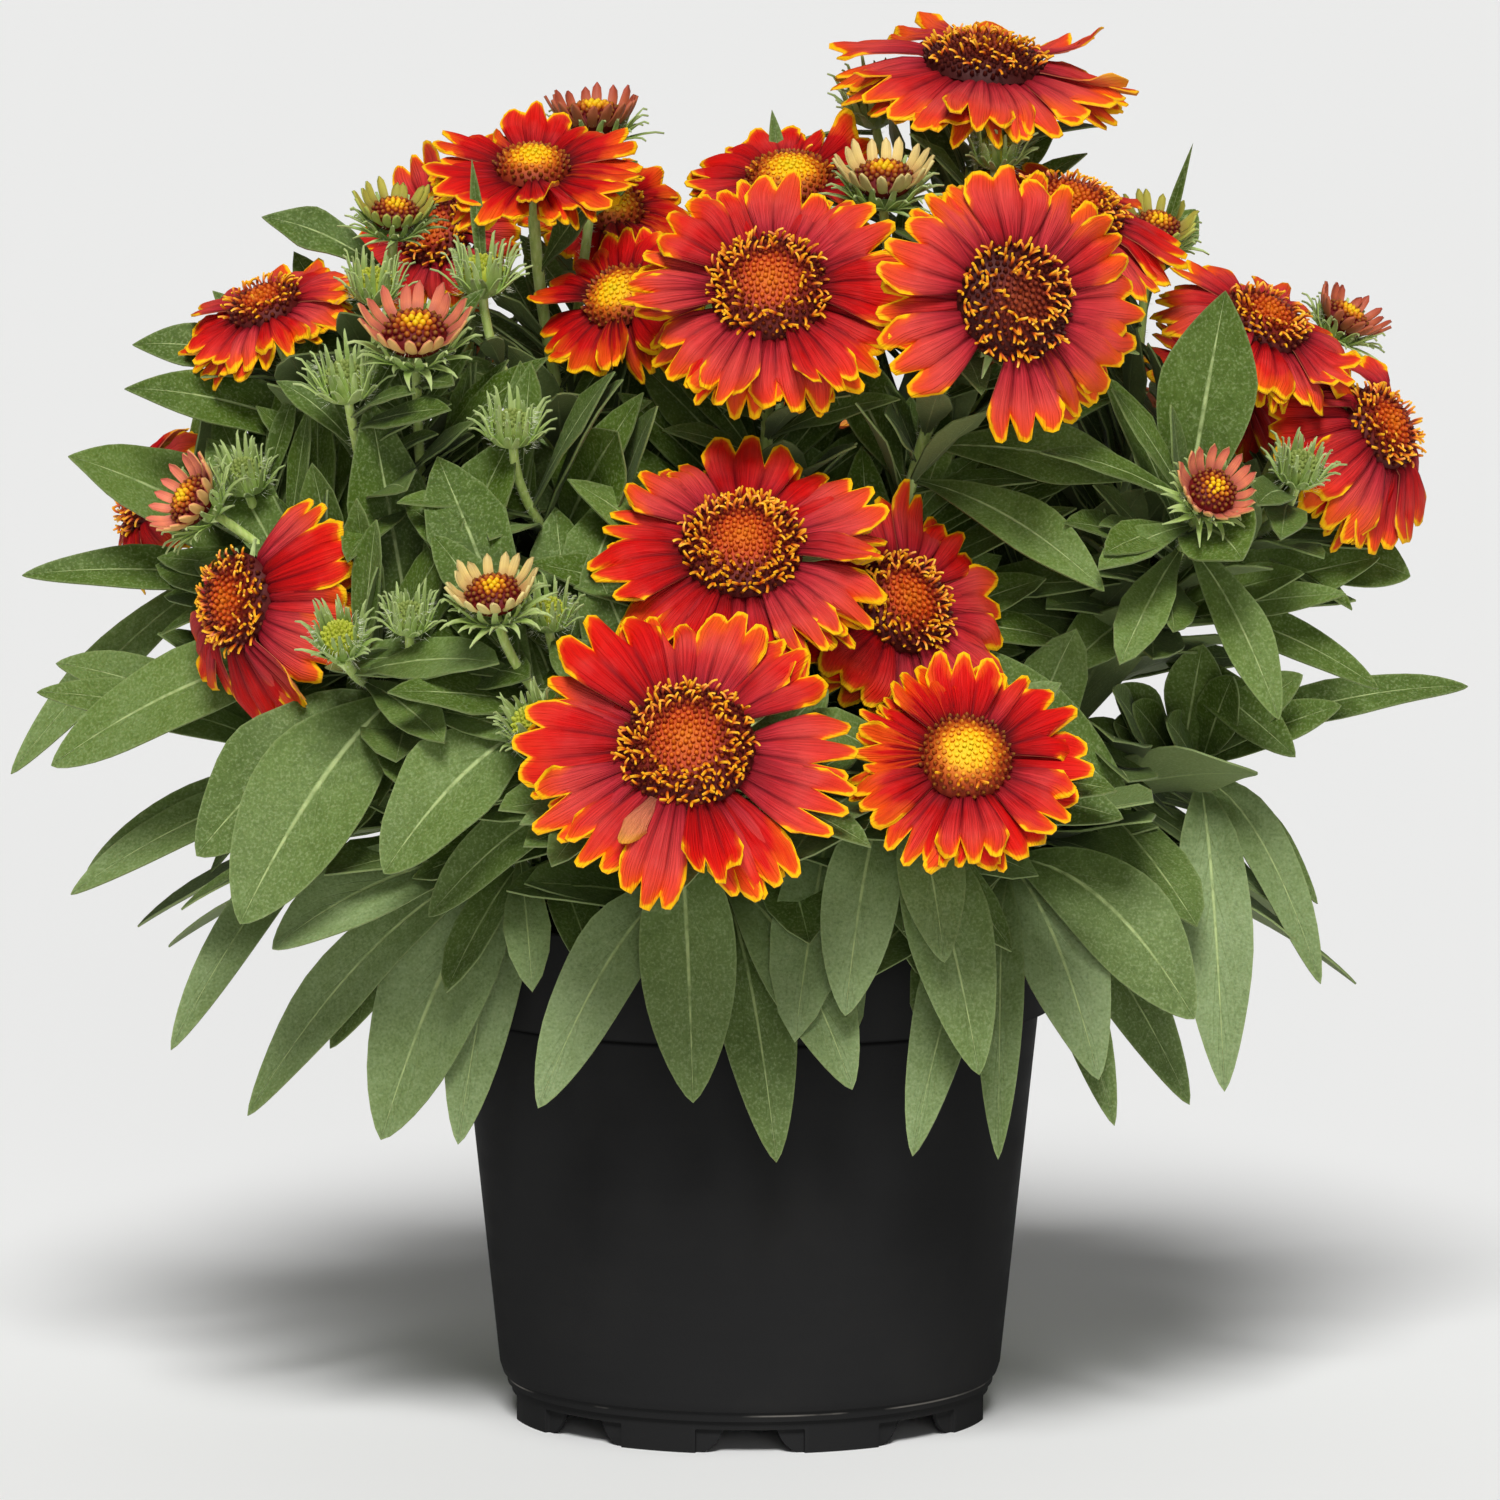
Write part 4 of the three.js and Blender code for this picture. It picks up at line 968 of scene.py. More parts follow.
def petal_finish():
    """Scarlet to coral rays with a thin yellow edge, dark roots, crimson streaks and painted shade in the
    furrows between the lobes.
    """
    coat = Finish("petal", roughness=0.65, specular_ior_level=0.16, subsurface_weight=0.04,
                  subsurface_scale=0.001)
    across = coat.note("across")
    length = coat.note("along")
    tone = coat.note("tone")
    cloud = coat.noise(260, 3)
    reach = length + coat.swing(coat.noise(90, 2), 0.3)
    red = coat.ramp(reach, [
        (0.0, 46, 0, 4), (0.13, 100, 0, 4), (0.3, 174, 0, 2),
        (0.6, 206, 4, 2), (0.84, 216, 20, 4), (1.0, 224, 42, 4),
    ])
    coral = coat.ramp(reach, [
        (0.0, 72, 2, 14), (0.13, 134, 12, 30), (0.32, 188, 42, 52),
        (0.64, 216, 68, 60), (0.86, 222, 66, 36), (1.0, 226, 72, 12),
    ])
    paleness = tone * 0.7 + coat.noise(110, 2) * 0.6
    body = coat.blend(coat.level(paleness, 0.5, 0.88), red, coral)
    # Painted shade: dark crimson along the furrows between the lobes; the finer lines are the rays' own
    # streaks.
    furrow = coat.level(abs(coat.fraction(across * 1.5 + 0.5) * 2 - 1), 0.62, 1.0)
    lines = coat.level(coat.noise(1.0, 2, coat.vector(across * 22, length * 1.6, tone * 40)), 0.4, 0.68)
    streaks_and_furrow_shade = coat.math("MAXIMUM", lines * 0.5, furrow)
    fade = coat.level(reach, 0.3, 0.9, 1.0, 0.2)
    body = coat.blend(streaks_and_furrow_shade * fade * 0.85, body, paint(88, 0, 12))
    wander = coat.note("edge") + coat.swing(cloud, 1.3)
    broad = wander * coat.level(coat.fraction(tone * 7), 0.0, 1.0, 0.8, 2.4)
    body = coat.blend(coat.level(broad, 0.8, 3.8, 0.85, 0.0), body, paint(232, 88, 2))
    body = coat.blend(coat.level(wander, 0.34, 0.92, 1.0, 0.0), body, paint(252, 190, 2))
    below = coat.ramp(reach, [
        (0.0, 168, 92, 70), (0.4, 218, 122, 88), (0.75, 228, 138, 84), (1.0, 240, 164, 50),
    ])
    coat.colour(coat.blend(coat.note("under"), body, below))
    coat.bump(cloud * 0.3 - lines, 0.22)
    return coat.material


def crown_finish(name, root, middle, tip, outside):
    """The short rays of a half-open bud, with another colour on their outside."""
    coat = Finish(name, roughness=0.65, sheen_weight=0.05)
    reach = coat.note("along") + coat.swing(coat.noise(400, 2), 0.2)
    body = coat.ramp(reach, [(0.0, *root), (0.55, *middle), (1.0, *tip)])
    lines = coat.noise(1.0, 1, coat.vector(coat.note("across") * 14, 0.0, coat.note("tone") * 40))
    body = coat.blend(coat.level(lines, 0.4, 0.7, 0.0, 0.35), body, paint(*root))
    coat.colour(coat.blend(coat.note("under"), body, paint(*outside)))
    return coat.material


def leaf_finish():
    """Grey-green felted leaves with a thin pale midrib, faint side veins, paler undersides and painted shade
    that darkens them towards the base.
    """
    coat = Finish("leaf", roughness=0.62, specular_ior_level=0.3, sheen_weight=0.04, sheen_roughness=0.4,
                  subsurface_weight=0.05, subsurface_scale=0.001)
    across = abs(coat.note("across"))
    length = coat.note("along")
    felt = coat.noise(1300, 2)
    cloud = coat.noise(40, 4) * 0.55 + coat.noise(330, 3) * 0.45
    shade = coat.note("tone") * 0.6 + cloud * 0.6
    body = coat.ramp(shade - 0.04, [
        (0.15, 42, 60, 10), (0.35, 68, 88, 28), (0.58, 98, 118, 60),
        (0.8, 117, 136, 86), (1.0, 134, 151, 106),
    ])
    body = coat.blend(coat.level(felt, 0.5, 0.7, 0.0, 0.3), body, paint(160, 174, 128))
    body = coat.blend(coat.level(felt, 0.3, 0.46, 0.3, 0.0), body, paint(56, 72, 26))
    body = coat.saturated(body, coat.level(coat.height(), 130, 230, 1.0, 1.12))
    # Darker olive towards the leaf's base: mostly painted shade, partly the leaf's own darker base.
    root = length + coat.swing(cloud, 0.6)
    body = coat.blend(coat.level(root, 0.0, 0.55, 0.7, 0.0), body, paint(52, 68, 20))
    slant = length * 10 - across * 4.2 + coat.noise(60, 2) * 0.5
    ripple = abs(coat.fraction(slant) - 0.5)
    vein = coat.level(ripple, 0.0, 0.07, 1.0, 0.0) * coat.level(across, 0.0, 0.75, 1.0, 0.0)
    rib_width = coat.level(length, 0.0, 1.0, 0.1, 0.02)
    midrib = 1 - coat.level(across / rib_width, 0.4, 1.0)
    midrib = midrib * coat.level(coat.noise(220, 2), 0.32, 0.56, 0.35, 1.0)
    body = coat.blend(vein * 0.16, body, paint(146, 164, 104))
    body = coat.blend(midrib * 0.85, body, paint(172, 188, 124))
    body = coat.blend(coat.level(coat.note("edge"), 0.0, 0.7, 0.3, 0.0), body, paint(146, 160, 104))
    below = coat.blend(0.5, body, paint(146, 160, 108))
    coat.colour(coat.blend(coat.note("under"), body, below))
    groove = vein * 0.4 + midrib * 0.5
    coat.bump(cloud * 0.5 + felt * 0.5 - groove, 0.3)
    return coat.material


def stem_finish():
    """Pale green stems streaked lengthwise."""
    coat = Finish("stem", roughness=0.6, sheen_weight=0.1, subsurface_weight=0.08, subsurface_scale=0.001)
    streaks = coat.noise(1.0, 3, coat.stretched((900, 900, 60)))
    coat.colour(coat.ramp(streaks, [(0.25, 158, 184, 84), (0.5, 192, 214, 116), (0.75, 212, 228, 150)]))
    coat.bump(streaks, 0.15)
    return coat.material


def bract_finish():
    """The green pointed bracts of cups and buds, paler at their tips."""
    coat = Finish("bract", roughness=0.7, sheen_weight=0.1)
    shade = coat.noise(300, 3) * 0.7 + coat.note("tone") * 0.4
    body = coat.ramp(shade, [(0.2, 118, 148, 50), (0.5, 160, 188, 86), (0.85, 194, 214, 130)])
    coat.colour(coat.blend(coat.level(coat.note("along"), 0.5, 1.0, 0.0, 0.6), body, paint(200, 212, 156)))
    coat.bump(coat.noise(1.0, 2, coat.vector(coat.note("across") * 8, 0.0, 0.0)), 0.2)
    return coat.material


def hair_finish():
    """The short whitish hairs of stems, bracts and buds."""
    return Finish("hair", roughness=0.5, base_color=paint(224, 228, 200)).material


def floret_finish(name, stops, tip):
    """Florets coloured by how far out on the disc they stand, with paler tips."""
    coat = Finish(name, roughness=0.6, specular_ior_level=0.25)
    place = coat.note("along") + coat.swing(coat.note("tone"), 0.22)
    height = coat.level(coat.note("across"), 0.45, 1.0, 0.0, 0.7)
    paler = height * coat.level(place, 0.5, 0.72, 1.0, 0.3)
    coat.colour(coat.blend(paler, coat.ramp(place, stops), paint(*tip)))
    coat.bump(coat.noise(900, 2), 0.1)
    return coat.material


def style_finish():
    """Golden curly styles with rusty roots."""
    coat = Finish("style", roughness=0.55)
    height = coat.note("along") + coat.swing(coat.note("tone"), 0.5)
    stops = [(0.0, 110, 22, 4), (0.3, 190, 70, 2), (0.6, 232, 138, 4), (1.0, 252, 190, 24)]
    coat.colour(coat.ramp(height, stops))
    return coat.material


def pot_finish():
    """Black moulded plastic with faint flow marks, fine grain, dust, a painted shadow line under the rim and
    a painted pale highlight, broken up, along the seam at the foot.
    """
    coat = Finish("pot plastic", specular_ior_level=0.004)
    height = coat.height()
    flow = coat.noise(1.0, 3, coat.stretched((14, 14, 160)))
    dust = coat.level(coat.noise(24, 5), 0.5, 0.8)
    body = coat.blend(dust * 0.3, paint(37, 37, 37), paint(53, 52, 50))
    body = coat.blend(flow * 0.4, body, paint(42, 42, 43))
    # Painted shadow: a dark line just under the rim's overhang.
    under_rim = abs(height - (POT_RIM_Z - 0.6))
    body = coat.blend(coat.level(under_rim, 0.5, 1.3, 0.85, 0.0), body, paint(10, 10, 10))
    # Painted highlight: a pale line along the seam at the foot, broken up by noise.
    seam = abs(height - POT_SEAM_Z)
    broken_highlight = coat.level(coat.noise(30, 4), 0.5, 0.6)
    body = coat.blend(coat.level(seam, 0.1, 0.3, 0.8, 0.0) * broken_highlight, body, paint(128, 124, 118))
    coat.colour(body)
    coat.feed(coat.shader, roughness=coat.level(flow + dust, 0.4, 1.4, 0.45, 0.65))
    coat.bump(coat.noise(1400, 2) + flow * 0.6, 0.05)
    return coat.material


def soil_finish():
    """Dark potting soil, mottled and lumpy."""
    coat = Finish("soil", roughness=0.95)
    lump = coat.noise(160, 6) * 0.7 + coat.note("tone") * 0.4
    coat.colour(coat.ramp(lump, [(0.25, 20, 14, 10), (0.5, 46, 32, 22), (0.8, 84, 62, 42)]))
    coat.bump(coat.noise(500, 5), 0.8)
    return coat.material


PETAL = petal_finish()
LEAF_GREEN = leaf_finish()
STEM_GREEN = stem_finish()
BRACT_GREEN = bract_finish()
HAIR_WHITE = hair_finish()
STYLE_GOLD = style_finish()

# Florets and closed buds: the material's name, stops from the middle outwards, and the tips.
FLORET_COLOURS = {
    "open": ("florets open", [(0.0, 206, 104, 10), (0.35, 186, 62, 6), (0.52, 128, 26, 6), (0.75, 90, 16, 8),
                              (1.0, 70, 10, 10)], (226, 122, 16)),
    "old": ("florets old", [(0.0, 128, 44, 12), (0.35, 104, 26, 10), (0.6, 74, 16, 8), (1.0, 56, 10, 8)],
            (156, 64, 12)),
    "young": ("florets young", [(0.0, 222, 194, 14), (0.36, 240, 184, 4), (0.52, 208, 112, 8),
                                (0.74, 158, 58, 12), (1.0, 100, 12, 14)], (248, 208, 40)),
    "lime": ("bud dome lime", [(0.0, 150, 158, 30), (1.0, 176, 184, 60)], (206, 206, 90)),
    "moss": ("bud dome moss", [(0.0, 112, 128, 54), (1.0, 140, 156, 78)], (170, 182, 104)),
}
FLORETS = {age: floret_finish(*colours) for age, colours in FLORET_COLOURS.items()}

# Crowns of half-open buds: root, middle, tip and outside of their short rays.
CROWN_COLOURS = {
    "rust": ((96, 20, 20), (190, 92, 52), (178, 74, 50), (176, 96, 58)),
    "lime": ((110, 60, 24), (176, 170, 62), (206, 200, 84), (164, 180, 80)),
    "coral": ((120, 16, 36), (234, 132, 92), (222, 112, 92), (232, 178, 104)),
    "cream": ((150, 70, 36), (234, 206, 122), (242, 222, 150), (222, 206, 130)),
}
CROWNS = {name: crown_finish(f"crown {name}", *colours) for name, colours in CROWN_COLOURS.items()}
POT_BLACK = pot_finish()
SOIL_BROWN = soil_finish()


# ---------------------------------------------------------------- blooms


# Petals are paler the older their bloom is. Some are twisted and narrow.
PALENESS = {"young": -0.3, "open": 0.12, "old": 0.46}
RAY_THICKNESS = 0.42

# A ray's outline in shares of its length and half width: where the lobes start and curl, where it is
# broadest, where its outer lobes begin, and how much shallower they are cut. Its sides near the root
# have no yellow edge.
LOBES_START = 0.45
CURLS_START = 0.62
BREADTH_FULL = 0.82
OUTER_LOBE = 0.667
OUTER_CUT = 0.62
LOBE_ROUND = 3.2
PLAIN_SIDE = 6
LOWER_SHARE = 0.5
TWISTED_SHARE = 0.15

# What differs from ray to ray: the least and the most, and how many values where there is one for
# each lobe. Lengths are millimetres and twist is degrees.
RAY_RANGES = {
    "waist": (0.22, 0.34), "notch": (0.16, 0.42), "short": (0.0, 0.2, 3), "furrow": (1.0, 1.9),
    "cup": (-2.8, 1.4), "twist": (-14, 14), "bow": (-0.8, 2.6), "curls": (-3.4, 2.4, 3),
}

# A short ray that lies turned over on a bloom: bloom, angle, length, half width.
TURNED_RAY = ("08", 245, 17, 3.4)


def lobe_place(u):
    """Which of a ray's three lobes a place across it is in, and where in that lobe, from -1 to 1."""
    lobe = np.clip(np.round(u * 1.5), -1, 1)
    return lobe, (u - lobe * 2 / 3) * 3


def ray_outline(u, v, plan):
    """How far out each corner of a ray reaches, and half its breadth there."""
    lobe, place = lobe_place(u)
    cut = plan["notch"] * np.where(np.abs(u) > OUTER_LOBE, OUTER_CUT, 1.0)
    tooth = 1 - plan["short"][(lobe + 1).astype(int)] * np.abs(lobe) - cut * np.abs(place) ** LOBE_ROUND
    tooth = tooth - plan["rounded"] * np.abs(u) ** 2.5
    length = plan["length"] * mix(1, tooth, smooth_step(LOBES_START, 1, v))
    reach = -plan["sunk"] + (length + plan["sunk"]) * v
    swell = np.sin(np.pi / 2 * np.minimum(1, v / BREADTH_FULL)) ** 1.25
    half = plan["half_width"] * (plan["waist"] + (1 - plan["waist"]) * swell)
    return reach, half * (1 - 0.1 * smooth_step(0.78, 1, v))


def ray_height(u, v, x, out, plan):
    """The height of each corner of a ray: droop, furrows, cup, twist, bow and curled lobes."""
    lobe, place = lobe_place(u)
    puff = plan["furrow"] * (1 - 0.3 * np.abs(lobe)) * (1 - np.abs(place) ** 1.6)
    puff = puff * np.sin(np.pi * np.clip(0.08 + 0.84 * v, 0, 1)) ** 0.5
    z = -out * math.sin(math.radians(plan["slope"])) - plan["lower"] + puff
    z = z + plan["cup"] * u * u * v
    z = z + x * math.tan(math.radians(plan["twist"])) * v
    z = z + plan["bow"] * 4 * v * (1 - v)
    curl = plan["curls"][(lobe + 1).astype(int)]
    return z + curl * smooth_step(CURLS_START, 1, v) * (1 - 0.6 * np.abs(place))


def ray_edge(u, v, half, plan):
    """How far each corner of a ray is from its toothed tip or its side."""
    _, place = lobe_place(u)
    steep = plan["notch"] * plan["length"] * LOBE_ROUND * np.minimum(np.abs(place), 0.7) ** 1.6 / (half / 3)
    steep = np.where(np.abs(place) > 0.9, 1.0, steep)
    to_tip = (1 - v) * plan["length"] / np.sqrt(1 + steep ** 2)
    to_side = (1 - np.abs(u)) * half + PLAIN_SIDE * (1 - smooth_step(0.3, 0.62, v))
    return np.minimum(to_tip, to_side)


def ray_corners(shape, head, plan):
    """A copy of the blade bent into one ray of three lobes, and how far each corner is from its edge."""
    u, v, side = shape.corners.T
    reach, half = ray_outline(u, v, plan)
    x = u * half
    out = np.maximum(reach, 0)
    radial = plan["start"] + np.minimum(reach, 0) + out * math.cos(math.radians(plan["slope"]))
    z = ray_height(u, v, x, out, plan) + side * RAY_THICKNESS
    angle = plan["angle"]
    outward = np.array([math.cos(angle), math.sin(angle)])
    sideways = np.array([math.sin(angle), -math.cos(angle)])
    flat = radial[:, None] * outward + x[:, None] * sideways
    return head.out(np.column_stack([flat, z])), ray_edge(u, v, half, plan)


def ray_places(bloom, start, rng):
    """The main rays, and shorter ones that show between them from below."""
    half = math.pi / bloom["rays"]
    for ray in range(bloom["rays"]):
        if ray in bloom["missing"]:
            continue
        layer = RAY_LAYER if ray % 2 == 0 else -RAY_LAYER
        slope = bloom["droop"] + layer + RAY_SWAY * (scatter(bloom["key"] * RAY_SLOPE_KEY + ray) - 0.5)
        reach = bloom["radius"] * mix(*RAY_REACH, scatter(bloom["key"] * RAY_REACH_KEY + ray)) - start
        yield "main", 2 * ray * half, slope, reach, 1.0 if ray % 2 == 0 else 0.0
        following = (ray + 1) % bloom["rays"]
        chance = scatter(bloom["key"] * RAY_LOWER_KEY + ray)
        if following not in bloom["missing"] and chance < LOWER_SHARE:
            lower_slope = bloom["droop"] + 9 + 3 * rng.uniform(-1, 1)
            lower_reach = (bloom["radius"] - start) * rng.uniform(0.84, 0.98)
            yield "lower", (2 * ray + 1) * half, lower_slope, lower_reach, 1.7


def twist_ray(plan, rng):
    plan["twist"] = rng.choice([-1, 1]) * rng.uniform(22, 36)
    plan["cup"] = rng.uniform(2, 5)
    plan["curls"] = rng.uniform(1, 4.5, 3)
    plan["half_width"] *= 0.76
    plan["lower"] = -1.4


def turned_ray(bloom, start):
    """The plan of the ray that lies turned over on a bloom."""
    _, angle, length, half_width = TURNED_RAY
    return {
        "angle": math.radians(angle), "slope": bloom["droop"] - 26, "length": length, "lower": -3.4,
        "start": start, "sunk": 2, "half_width": half_width, "waist": 0.4, "notch": 0.02,
        "short": np.zeros(3), "furrow": 0.4, "cup": -2.4, "twist": 8, "bow": 1.5, "curls": np.zeros(3),
        "over": True, "rounded": 0.45,
    }


def ray_plans(bloom, rng):
    """How each ray of a bloom is shaped."""
    start = bloom["disc_radius"] + PLATE_MARGIN
    for kind, angle, slope, reach, lower in list(ray_places(bloom, start, rng)):
        tip_radius = start + 0.85 * reach * math.cos(math.radians(slope))
        wide = 1.16 if kind == "main" else 0.9
        plan = {
            "angle": angle + rng.uniform(-0.1, 0.1), "slope": slope + rng.uniform(-1.5, 2.5),
            "length": reach * rng.uniform(0.9, 1.02), "lower": lower,
            "start": start, "sunk": bloom["disc_radius"] * 0.4, "over": False, "rounded": 0,
            "half_width": tip_radius * math.tan(math.pi / bloom["rays"]) * wide * rng.uniform(0.84, 1.22),
        }
        for trait, limits in RAY_RANGES.items():
            plan[trait] = rng.uniform(*limits)
        if kind == "main" and rng.uniform() < TWISTED_SHARE:
            twist_ray(plan, rng)
        yield plan
    if bloom["name"] == TURNED_RAY[0]:
        yield turned_ray(bloom, start)


def make_petals(bloom):
    rng = np.random.default_rng(SEED + bloom["key"])
    piece = Piece(f"bloom_{bloom['name']}_petals")
    mood = PALENESS[bloom["age"]]
    for plan in ray_plans(bloom, rng):
        corners, edge = ray_corners(RAY, bloom["head"], plan)
        tone = np.clip(rng.uniform(0.1, 0.9) + mood, 0, 1)
        piece.laid(RAY, corners, PETAL, tone, plan["over"], edge=edge)
    settle(piece.made(), "petals", f"bloom_{bloom['name']}_rays")


# Florets stand on a low dome, in the spiral that flower heads pack them in. The styles stand in a ring
# on it, in part of the florets: where the ring starts and ends, and which share has them.
FLORETS_PER_AREA = 0.95
FLORET_TURN = 137.508
DOME_FALL = 0.72
DOME_POWER = 2.2
STYLE_RADIUS = 0.4
STYLE_RING = {"open": (0.5, 0.97), "old": (0.28, 0.95), "young": (0.66, 0.8)}
STYLE_SHARE = {"open": 0.7, "old": 0.5, "young": 0.08}


def floret_places(count):
    """Shares of the radius and angles of the spiral."""
    index = np.arange(count)
    share = np.sqrt((index + 0.5) / count)
    return share, index * math.radians(FLORET_TURN)


def disc_frames(share, angle, radius, height):
    """Places on the dome, with the outward and upward directions there."""
    x = share * radius * np.cos(angle)
    y = share * radius * np.sin(angle)
    z = height * (1 - DOME_FALL * share ** DOME_POWER)
    fall = DOME_FALL * DOME_POWER * share ** (DOME_POWER - 1) * height / radius
    outward = np.column_stack([np.cos(angle), np.sin(angle), np.zeros_like(angle)])
    upward = unit(np.column_stack([np.cos(angle) * fall, np.sin(angle) * fall, np.ones_like(angle)]))
    around = unit(np.cross(upward, outward))
    outward = np.cross(around, upward)
    return np.column_stack([x, y, z]), outward, around, upward


def curl_corners(base, outward, around, upward, length, radius, bend):
    """A thin rod that rises and curls outwards, from the tendril shape."""
    v = TENDRIL.corners[:, 2]
    turn = bend * v
    rise = length * np.sin(turn) / bend
    lean = length * (1 - np.cos(turn)) / bend
    centre = base + rise[:, None] * upward + lean[:, None] * outward
    normal = np.cos(turn)[:, None] * outward - np.sin(turn)[:, None] * upward
    thin = radius * (0.7 + 0.3 * np.sin(np.pi * np.clip(v, 0, 0.9)))
    x = (TENDRIL.corners[:, 0] * thin)[:, None]
    y = (TENDRIL.corners[:, 1] * thin)[:, None]
    return centre + x * normal + y * around


def add_styles(piece, bloom, share, frames, tall, rng):
    """Curly styles, one or two to a floret, in the ring that is in flower."""
    place, outward, around, upward = frames
    low, high = STYLE_RING[bloom["age"]]
    for index in np.flatnonzero((share > low) & (share < high)):
        if rng.uniform() > STYLE_SHARE[bloom["age"]]:
            continue
        for fork in (-1, 1)[:rng.integers(1, 3)]:
            lean = unit(outward[index] * rng.uniform(-0.3, 1) + around[index] * fork * rng.uniform(-0.2, 1.2))
            across = unit(np.cross(upward[index], lean))
            lean = np.cross(across, upward[index])
            foot = place[index] + upward[index] * tall[index] * 0.6
            length = rng.uniform(2.0, 3.7)
            bend = rng.uniform(0.5, 2.0)
            corners = curl_corners(foot, lean, across, upward[index], length, STYLE_RADIUS, bend)
            piece.bent(TENDRIL, bloom["head"].out(corners), STYLE_GOLD, along=TENDRIL.corners[:, 2],
                       tone=rng.uniform())


def make_florets(bloom):
    rng = np.random.default_rng(SEED * 3 + bloom["key"])
    head = bloom["head"]
    radius = bloom["disc_radius"] * 0.97
    height = bloom["disc_height"] * 0.86
    age = bloom["age"]
    piece = Piece(f"bloom_{bloom['name']}_florets")
    base = DOME.corners * np.array([radius * 0.96, radius * 0.96, height * 0.9])
    base[:, 2] = np.maximum(base[:, 2], 0) + GAP
    piece.bent(DOME, head.out(base), FLORETS[age], along=np.hypot(base[:, 0], base[:, 1]) / radius, tone=0.3)
    count = int(FLORETS_PER_AREA * radius ** 2)
    share, angle = floret_places(count)
    place, outward, around, upward = frames = disc_frames(share, angle, radius * 0.95, height)
    size = radius * math.sqrt(1 / count) * 0.86
    tall = size * np.where(share < 0.5, 1.15, 1.5) * rng.uniform(0.85, 1.15, count)
    if age == "young":
        tall = size * np.where(share > 0.66, 1.7, 0.95)
    tones = rng.uniform(0, 1, count)
    x_axes = (around * -size) @ head.axes * 0.9
    y_axes = (outward * size) @ head.axes * 0.9
    z_axes = (upward * tall[:, None]) @ head.axes
    piece.stamped(BALL, head.out(place), x_axes, y_axes, z_axes, FLORETS[age], tones, share)
    add_styles(piece, bloom, share, frames, tall, rng)
    settle(piece.made(), "disc", f"bloom_{bloom['name']}_disc")


# ---------------------------------------------------------------- stems, cups, buds and leaves

# Radii of stems and branches at their foot and under their head.
STEM_RADII = (1.9, 1.7)
BRANCH_RADII = (1.6, 1.35)
STEADY = np.array([0.31, 0.95, 0.07])
HAIRS_PER_MM = 3.0
HAIR_RADIUS = 0.055
STEM_HAIR_LENGTH = (0.9, 2.1)

# Bracts: where their profile's slope is read, and the shares along it at which buds give it.
PROFILE_STEP = 0.02
BUD_PROFILE = (0, 0.22, 0.5, 0.8, 1)

# Rows of bracts round buds, in shares of the bud's radius. Closed: count, belly, spread, top, width.
# Half open: count, spread, top, width.
CLOSED_ROWS = ((16, 0.78, 1.18, 0.1, 0.24), (15, 0.74, 1.02, 0.55, 0.24), (13, 0.6, 0.72, 0.86, 0.22))
HALF_OPEN_ROWS = ((15, 1.36, -0.28, 0.23), (14, 1.24, -0.02, 0.23), (13, 1.1, 0.2, 0.22))

def rail_frames(points):
    """Directions along a row of points with two steady ones across it."""
    tangents = unit(np.gradient(points, axis=0))
    right = unit(np.cross(tangents, STEADY))
    up = np.cross(tangents, right)
    return tangents, right, up


def add_stem(piece, rail, radii, rng, root=None):
    """A tapered round stem along a rail, with its hairs."""
    points = rail.fine if root is None else np.vstack([root, rail.fine])
    shares = np.linspace(0, 1, len(points))
    v = STEM.corners[:, 2]
    centre = np.column_stack([np.interp(v, shares, points[:, axis]) for axis in range(3)])
    tangents, right, up = rail_frames(points)
    index = np.clip(np.round(v * (len(points) - 1)).astype(int), 0, len(points) - 1)
    radius = mix(*radii, v)
    corners = centre + (STEM.corners[:, 0] * radius)[:, None] * right[index]
    corners = corners + (STEM.corners[:, 1] * radius)[:, None] * up[index]
    piece.bent(STEM, corners, STEM_GREEN, along=v, tone=rng.uniform())
    add_stem_hairs(piece, points, tangents, right, up, mix(*radii, shares), rng)


def add_stem_hairs(piece, points, tangents, right, up, radii, rng):
    length = np.linalg.norm(np.diff(points, axis=0), axis=1).sum()
    count = int(length * HAIRS_PER_MM)
    index = rng.integers(1, len(points), count)
    share = rng.uniform(0, 1, count)[:, None]
    centre = points[index - 1] * share + points[index] * (1 - share)
    angle = rng.uniform(0, 2 * math.pi, count)[:, None]
    outward = np.cos(angle) * right[index] + np.sin(angle) * up[index]
    base = centre + outward * radii[index][:, None] * 0.9
    direction = unit(outward + tangents[index] * rng.uniform(-0.1, 0.8, count)[:, None]
                     + rng.normal(0, 0.15, (count, 3)))
    add_hairs(piece, base, direction, rng.uniform(*STEM_HAIR_LENGTH, count), rng)


def add_hairs(piece, bases, directions, lengths, rng):
    count = len(bases)
    helper = np.cross(directions, np.array([0.3, 0.5, 0.81]))
    x_axes = unit(helper) * HAIR_RADIUS
    y_axes = np.cross(directions, unit(helper)) * HAIR_RADIUS
    piece.stamped(HAIR, bases, x_axes, y_axes, directions * lengths[:, None], HAIR_WHITE,
                  rng.uniform(0, 1, count), np.zeros(count))


